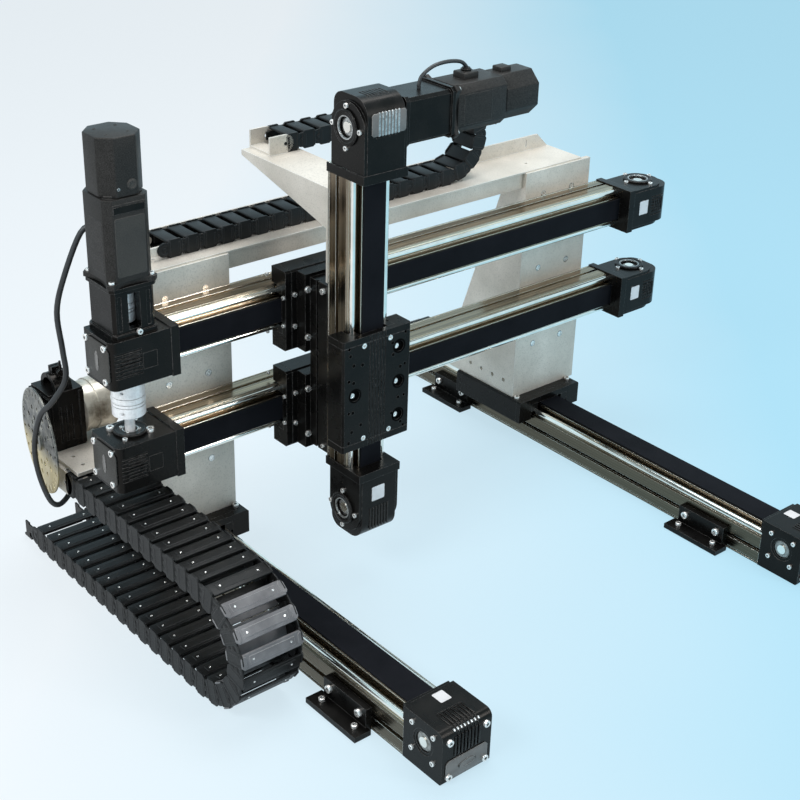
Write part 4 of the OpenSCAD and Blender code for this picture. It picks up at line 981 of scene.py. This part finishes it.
yHousing = {
    "halfWidth": 0.0391, "beams": {"upper": 0.458, "lower": 0.283}, "axisX": -0.0928, "idlerY": 0.580,
    "driveY": -0.544, "frontX": -0.049, "endY": -0.592, "ring": (0.0275, 0.0172, 0.0032), "disc": 0.0150,
    "label": (0.023, 0.027), "labelY": 0.5545, "endPlate": (0.068, 0.066), "oval": (0.011, 0.032),
    "seatRing": (0.027, 0.011, 0.0040), "seatScrew": (0.0062, 0.0065), "seatScrewOut": 0.0310,
    "seatTurn": (49.5, 229.5), "ringScrew": (0.0026, 0.003), "ringScrewOut": 0.0145,
    "discDeep": 0.0050, "frame": (0.024, 0.026), "frameLine": 0.0012, "endX": -0.0885,
}
h = yHousing
bridgeTrim, idlerDiscs = [], {}
for name, z in h["beams"].items():
    for out in (-1, 1):
        at = Vector((h["axisX"], h["idlerY"], z + out * h["halfWidth"]))
        bridgeTrim.append(moved(addRingFlange(*h["ring"]), faceFrame(at, (0, 0, out), (1, 0, 0))))
        at.z -= out * h["discDeep"]
        disc = moved(addBearingDisc(h["disc"], False), faceFrame(at, (0, 0, out), (1, 0, 0)))
        idlerDiscs.setdefault("y_idler_" + name + "_turning", []).append(disc)
    at = (h["frontX"], h["labelY"], z + 0.001)
    bridgeTrim.append(moved(addLabel(*h["label"]), faceFrame(at, (1, 0, 0), (0, 0, 1))))
    ribs = faceFrame((h["frontX"], h["idlerY"] + 0.014, z), (1, 0, 0), (0, 0, 1))
    for k in range(5):
        rib = addBlock((0.0022, 0.026, 0.0016), ((k - 2) * 0.0052, 0, 0), 0.0005, 1)
        bridgeTrim.append(moved(paint(rib, black), ribs))
    # smooth end plate with its blank oval, and the frame beside the ribs
    end = faceFrame((h["endX"], h["endY"], z), (0, -1, 0), (0, 0, 1))
    plate = addBlock((*h["endPlate"], 0.0022), (0, 0, 0.0011), 0.0008, 2, 0.010)
    oval = moved(addOval(*h["oval"]), Matrix.Translation((0, 0, 0.0018)))
    bridgeTrim += [moved(paint(plate, panelGrey), end), moved(oval, end)]
    front = faceFrame((h["frontX"], h["driveY"] + 0.003, z - 0.002), (1, 0, 0), (0, 0, 1))
    for k in range(7):
        rib = addBlock((0.030, 0.0030, 0.0022), (-0.019, (k - 3) * 0.0054, 0), 0.0006, 1)
        bridgeTrim.append(moved(paint(rib, black), front))
    for s in (-1, 1):
        wide, high = h["frame"]
        line, middle = h["frameLine"], 0.014
        for size, at in (((wide, line, line), (middle, s * high / 2, 0)),
                         ((line, high, line), (middle + s * wide / 2, 0, 0))):
            bridgeTrim.append(moved(paint(addBlock(size, at, 0.0003, 1), motorBlack), front))
seat = Matrix.Translation((h["axisX"], h["driveY"], h["beams"]["lower"] + h["halfWidth"]))
bridgeTrim.append(moved(addRingFlange(*h["seatRing"]), seat))
bridgeScrews = screws["bridge_screws"]
for angle in h["seatTurn"]:
    a = math.radians(angle)
    at = seat @ Vector((h["seatScrewOut"] * math.cos(a), h["seatScrewOut"] * math.sin(a), 0.0))
    bridgeScrews.append(screwAt(at, (0, 0, 1), *h["seatScrew"]))
for k in range(4):
    a = math.radians(45 + 90 * k)
    at = seat @ Vector((h["ringScrewOut"] * math.cos(a), h["ringScrewOut"] * math.sin(a), 0.0030))
    bridgeScrews.append(screwAt(at, (0, 0, 1), *h["ringScrew"]))
# one on the upper adapter's front
bridgeScrews.append(screwAt((h["axisX"] + 0.0380, h["driveY"] + 0.004, 0.5035), (1, 0, 0), 0.0046))
finishPiece(bridgeTrim, "yHousingTrim", "bridge", "black_metal")
for body, parts in idlerDiscs.items():
    finishPiece(parts, body + "Disc", body, "bright_shaft")

zHousing = {
    "halfWidth": 0.040, "axisX": 0.04989, "y": -0.199, "drive": 0.784, "idler": 0.140, "frontX": 0.09265,
    "ring": (0.0275, 0.0160, 0.0032), "disc": 0.0140, "discDeep": 0.0050, "label": (0.026, 0.026), "labelZ": 0.175,
    "ribs": 7, "ribPitch": 0.0060, "lowRib": (0.0030, 0.040, 0.0026), "lowZ": 0.130,
    "topRib": (0.0036, 0.036, 0.0034), "topZ": 0.794, "backing": (0.064, 0.034, 0.0018),
}
h = zHousing
saddleTrim = []
for name, z in (("drive", h["drive"]), ("idler", h["idler"])):
    found = []
    for out in (-1, 1):
        if name == "drive" and out > 0:
            continue
        at = Vector((h["axisX"], h["y"] + out * h["halfWidth"], z))
        saddleTrim.append(moved(addRingFlange(*h["ring"]), faceFrame(at, (0, out, 0), (0, 0, 1))))
        at.y -= out * h["discDeep"]
        found.append(moved(addBearingDisc(h["disc"], False), faceFrame(at, (0, out, 0), (0, 0, 1))))
    finishPiece(found, "z_" + name + "_turningDisc", "z_" + name + "_turning", "bright_shaft")
labelPlace = faceFrame((h["frontX"], h["y"] - 0.002, h["labelZ"]), (1, 0, 0), (0, 0, 1))
saddleTrim.append(moved(addLabel(*h["label"]), labelPlace))
# dark ribs on the idler housing; on the drive housing, ribs in bright steel as painted highlight, on a plate in the
# painted-sheen black
panels = (("lowRib", 0.0008, motorBlack, (h["frontX"], h["y"], h["lowZ"])),
          ("topRib", 0.0009, dullSteel, (h["frontX"], h["y"] + 0.004, h["topZ"])))
for key, bevel, finish, at in panels:
    panelPlace = faceFrame(at, (1, 0, 0), (0, 0, 1))
    for k in range(h["ribs"]):
        rib = addBlock(h[key], ((k - (h["ribs"] - 1) / 2) * h["ribPitch"], 0, 0), bevel, 2)
        saddleTrim.append(moved(paint(rib, finish), panelPlace))
backing = paint(addBlock(h["backing"], (0, 0, 0.0004), 0.0005, 2, 0.003), sheenPaintedBlack)
saddleTrim.append(moved(backing, panelPlace))
finishPiece(saddleTrim, "zHousingTrim", "saddle", "black_metal")


# tool plate: painted shade as dark rims and floors in the stepped holes, a bush in each, and the small tapped holes
# as flat discs with painted shade in the middle
toolPlate = {
    "face": 0.08208, "left": -0.267, "top": 0.457, "middle": (-0.199, 0.360),
    "stepped": ((0.062, 0.044), (0.0, 0.044), (-0.060, 0.044), (0.0, -0.044)),   # up and right of the middle
    "rim": 0.0122, "floor": 0.0088, "floorDeep": 0.0038, "bush": 0.0044, "bushAside": (0.0006, -0.0042, 0.0006),
    "holes": ((0.012, 0.178), (0.021, 0.044), (0.038, 0.047), (0.021, 0.074), (0.020, 0.126), (0.018, 0.160),
              (0.036, 0.152), (0.014, 0.026), (0.100, 0.047), (0.115, 0.072), (0.112, 0.126), (0.099, 0.151),
              (0.118, 0.172), (0.098, 0.026)),
    "holeRadius": 0.0034,
}
t = toolPlate
toolTrim = []
for along, across in t["stepped"]:
    at = Vector((t["face"], t["middle"][0] + across, t["middle"][1] + along))
    rim = addTurned(t["rim"], 0.0004, [(0.0030, -0.0001)], 36)
    pickFaces(rim, lambda c, n: abs(n.z) > 0.9 and c.xy.length < 0.001)
    bpy.ops.mesh.delete(type="FACE")
    bpy.ops.object.mode_set(mode="OBJECT")
    toolTrim.append(moved(paint(rim, holeShadeBlack), faceFrame(at, (1, 0, 0), (0, 0, 1))))
    at.x -= t["floorDeep"]
    floorDisc = paint(addTurned(t["floor"], 0.0006, [(0.0010, 0.0)], 28), holeShadeBlack)
    toolTrim.append(moved(floorDisc, faceFrame(at, (1, 0, 0), (0, 0, 1))))
    at += Vector(t["bushAside"])
    bush = addTurned(t["bush"], 0.0016, [(0.0012, -0.0006)], 24, 0.0003)
    toolTrim.append(moved(paint(bush, steel), faceFrame(at, (1, 0, 0), (0, 0, 1))))
for across, down in t["holes"]:
    at = (t["face"] - 0.0001, t["left"] + across, t["top"] - down)
    hole = addTurned(t["holeRadius"], 0.0003, [(0.0004, 0.0)], 18)
    # the hole is flat: its dark middle is painted shade
    hole = paint(hole, panelGrey, holeShadeBlack, choose=lambda c, n: 1 if c.xy.length < 0.001 else 0)
    toolTrim.append(moved(hole, faceFrame(at, (1, 0, 0), (0, 0, 1))))
finishPiece(toolTrim, "toolPlateTrim", "tool", "black_metal")


# bracket holes: a steel bush in each, its bore painted black as painted shade
bracketHoles = {"x": -0.137, "y": (0.408, 0.037), "z": (0.194, 0.352, 0.500), "outer": 0.0062, "ring": 0.0045}
b = bracketHoles
bushes = []
for side in (-1, 1):
    for s in (-1, 1):
        for z in b["z"]:
            bush = addTurned(b["outer"], 0.0005, [(0.0012, 0.0), (0.0016, -0.0022)], 24)
            bush = paint(bush, dullSteel, steel, black,
                         choose=lambda c, n: 2 if c.z < -0.001 else 1 if c.xy.length < b["ring"] else 0)
            at = (b["x"], side * b["y"][0] + s * b["y"][1], z)
            bushes.append(moved(bush, faceFrame(at, (1, 0, 0), (0, 0, 1))))
finishPiece(bushes, "bracketBushes", "bridge", "plate_silver")

for node, body in (("base_screws", "base"), ("bridge_screws", "bridge"), ("saddle_screws", "saddle")):
    finishPiece(screws[node], body + "Screws", body, "screw_steel", node)
drop(screwPattern)


# stage and light
stageLook = {
    "left": (0.89, 0.956, 1.0),
    "right": (0.455, 0.79, 0.962),
    "across": (0.65, 0.76, 0.0),   # the way along the floor in which the colour changes
    "from": -0.60, "to": 0.72,
    "size": 14.0,
    "glow": 0.80, "shaded": 0.15,  # shares of the colour that no shadow reaches, and that it does
}


def seenShare(tree):
    rays = tree.nodes.new("ShaderNodeLightPath")
    share = rays.outputs["Is Camera Ray"]
    for name in ("Is Glossy Ray", "Is Transmission Ray"):
        either = tree.nodes.new("ShaderNodeMath")
        either.operation = "MAXIMUM"
        tree.links.new(share, either.inputs[0])
        tree.links.new(rays.outputs[name], either.inputs[1])
        share = either.outputs[0]
    return share


def makeStage(look):
    deselectAll()
    bpy.ops.mesh.primitive_plane_add(size=look["size"], location=(0, 0, 0))
    floor = bpy.context.object
    bpy.ops.transform.translate(value=(0, 0, -0.0005))
    bpy.ops.object.transform_apply(location=True, rotation=True, scale=True)
    floor.name = "floor"
    g = Graph("paleFloor")
    along = g.tree.nodes.new("ShaderNodeVectorMath")
    along.operation = "DOT_PRODUCT"
    along.inputs[1].default_value = look["across"]
    g.tree.links.new(g.object, along.inputs[0])
    drift = g.noise(g.object, 1.1, 2.0)
    at = g.sum("ADD", along.outputs["Value"], g.spread(drift, -0.05, 0.05))
    color = g.blend(g.spread(at, 0.0, 1.0, look["from"], look["to"]), look["left"], look["right"])
    g.finish(**{"Base Color": color, "Roughness": 0.95, "Specular IOR Level": 0.0})
    glow = g.node("ShaderNodeEmission", Color=color)
    g.tree.links.new(g.sum("MULTIPLY", seenShare(g.tree), look["glow"]), glow.inputs["Strength"])
    dim = g.node("ShaderNodeBsdfDiffuse", Color=g.blend(look["shaded"], (0, 0, 0), color))
    both = g.tree.nodes.new("ShaderNodeAddShader")
    g.tree.links.new(glow.outputs[0], both.inputs[0])
    g.tree.links.new(dim.outputs[0], both.inputs[1])
    switch = g.tree.nodes.new("ShaderNodeMixShader")
    g.tree.links.new(seenShare(g.tree), switch.inputs[0])
    g.tree.links.new(g.shader.outputs[0], switch.inputs[1])
    g.tree.links.new(both.outputs[0], switch.inputs[2])
    g.tree.links.new(switch.outputs[0], g.tree.nodes["Material Output"].inputs["Surface"])
    floor.data.materials.append(g.material)
    floor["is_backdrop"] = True


def addSoftbox(name, place, target, size, power):
    data = bpy.data.lights.new(name, "AREA")
    data.shape = "RECTANGLE"
    data.size, data.size_y = size
    data.energy = power
    lamp = bpy.data.objects.new(name, data)
    scene.collection.objects.link(lamp)
    look = Vector(target) - Vector(place)
    lamp.matrix_world = Matrix.Translation(place) @ look.to_track_quat("-Z", "Y").to_matrix().to_4x4()


worldLook = {"seen": (0.62, 0.86, 0.98), "lit": (0.90, 0.95, 1.0), "litLevel": 0.42, "seenLevel": 1.0}


def makeWorld(look):
    world = bpy.data.worlds.new("studio")
    world.use_nodes = True
    scene.world = world
    tree = world.node_tree
    share = seenShare(tree)
    lit = tree.nodes["Background"]
    lit.inputs["Color"].default_value = (*look["lit"], 1)
    lit.inputs["Strength"].default_value = look["litLevel"]
    seen = tree.nodes.new("ShaderNodeBackground")
    seen.inputs["Color"].default_value = (*look["seen"], 1)
    seen.inputs["Strength"].default_value = look["seenLevel"]
    switch = tree.nodes.new("ShaderNodeMixShader")
    tree.links.new(share, switch.inputs[0])
    tree.links.new(lit.outputs[0], switch.inputs[1])
    tree.links.new(seen.outputs[0], switch.inputs[2])
    tree.links.new(switch.outputs[0], tree.nodes["World Output"].inputs["Surface"])


softboxes = {
    "keyLight": {"place": (0.4, -2.6, 2.4), "target": (0, 0, 0.4), "size": (1.6, 0.8), "power": 62},
    "topLight": {"place": (-0.4, 0.5, 3.0), "target": (0, 0, 0.3), "size": (1.8, 1.4), "power": 56},
    "sideLight": {"place": (2.8, 1.2, 1.9), "target": (0, 0, 0.3), "size": (0.7, 1.6), "power": 34},
}
makeStage(stageLook)
makeWorld(worldLook)
for name, box in softboxes.items():
    addSoftbox(name, **box)
scene.view_settings.view_transform = "Standard"
print("stage and light set")

low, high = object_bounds()
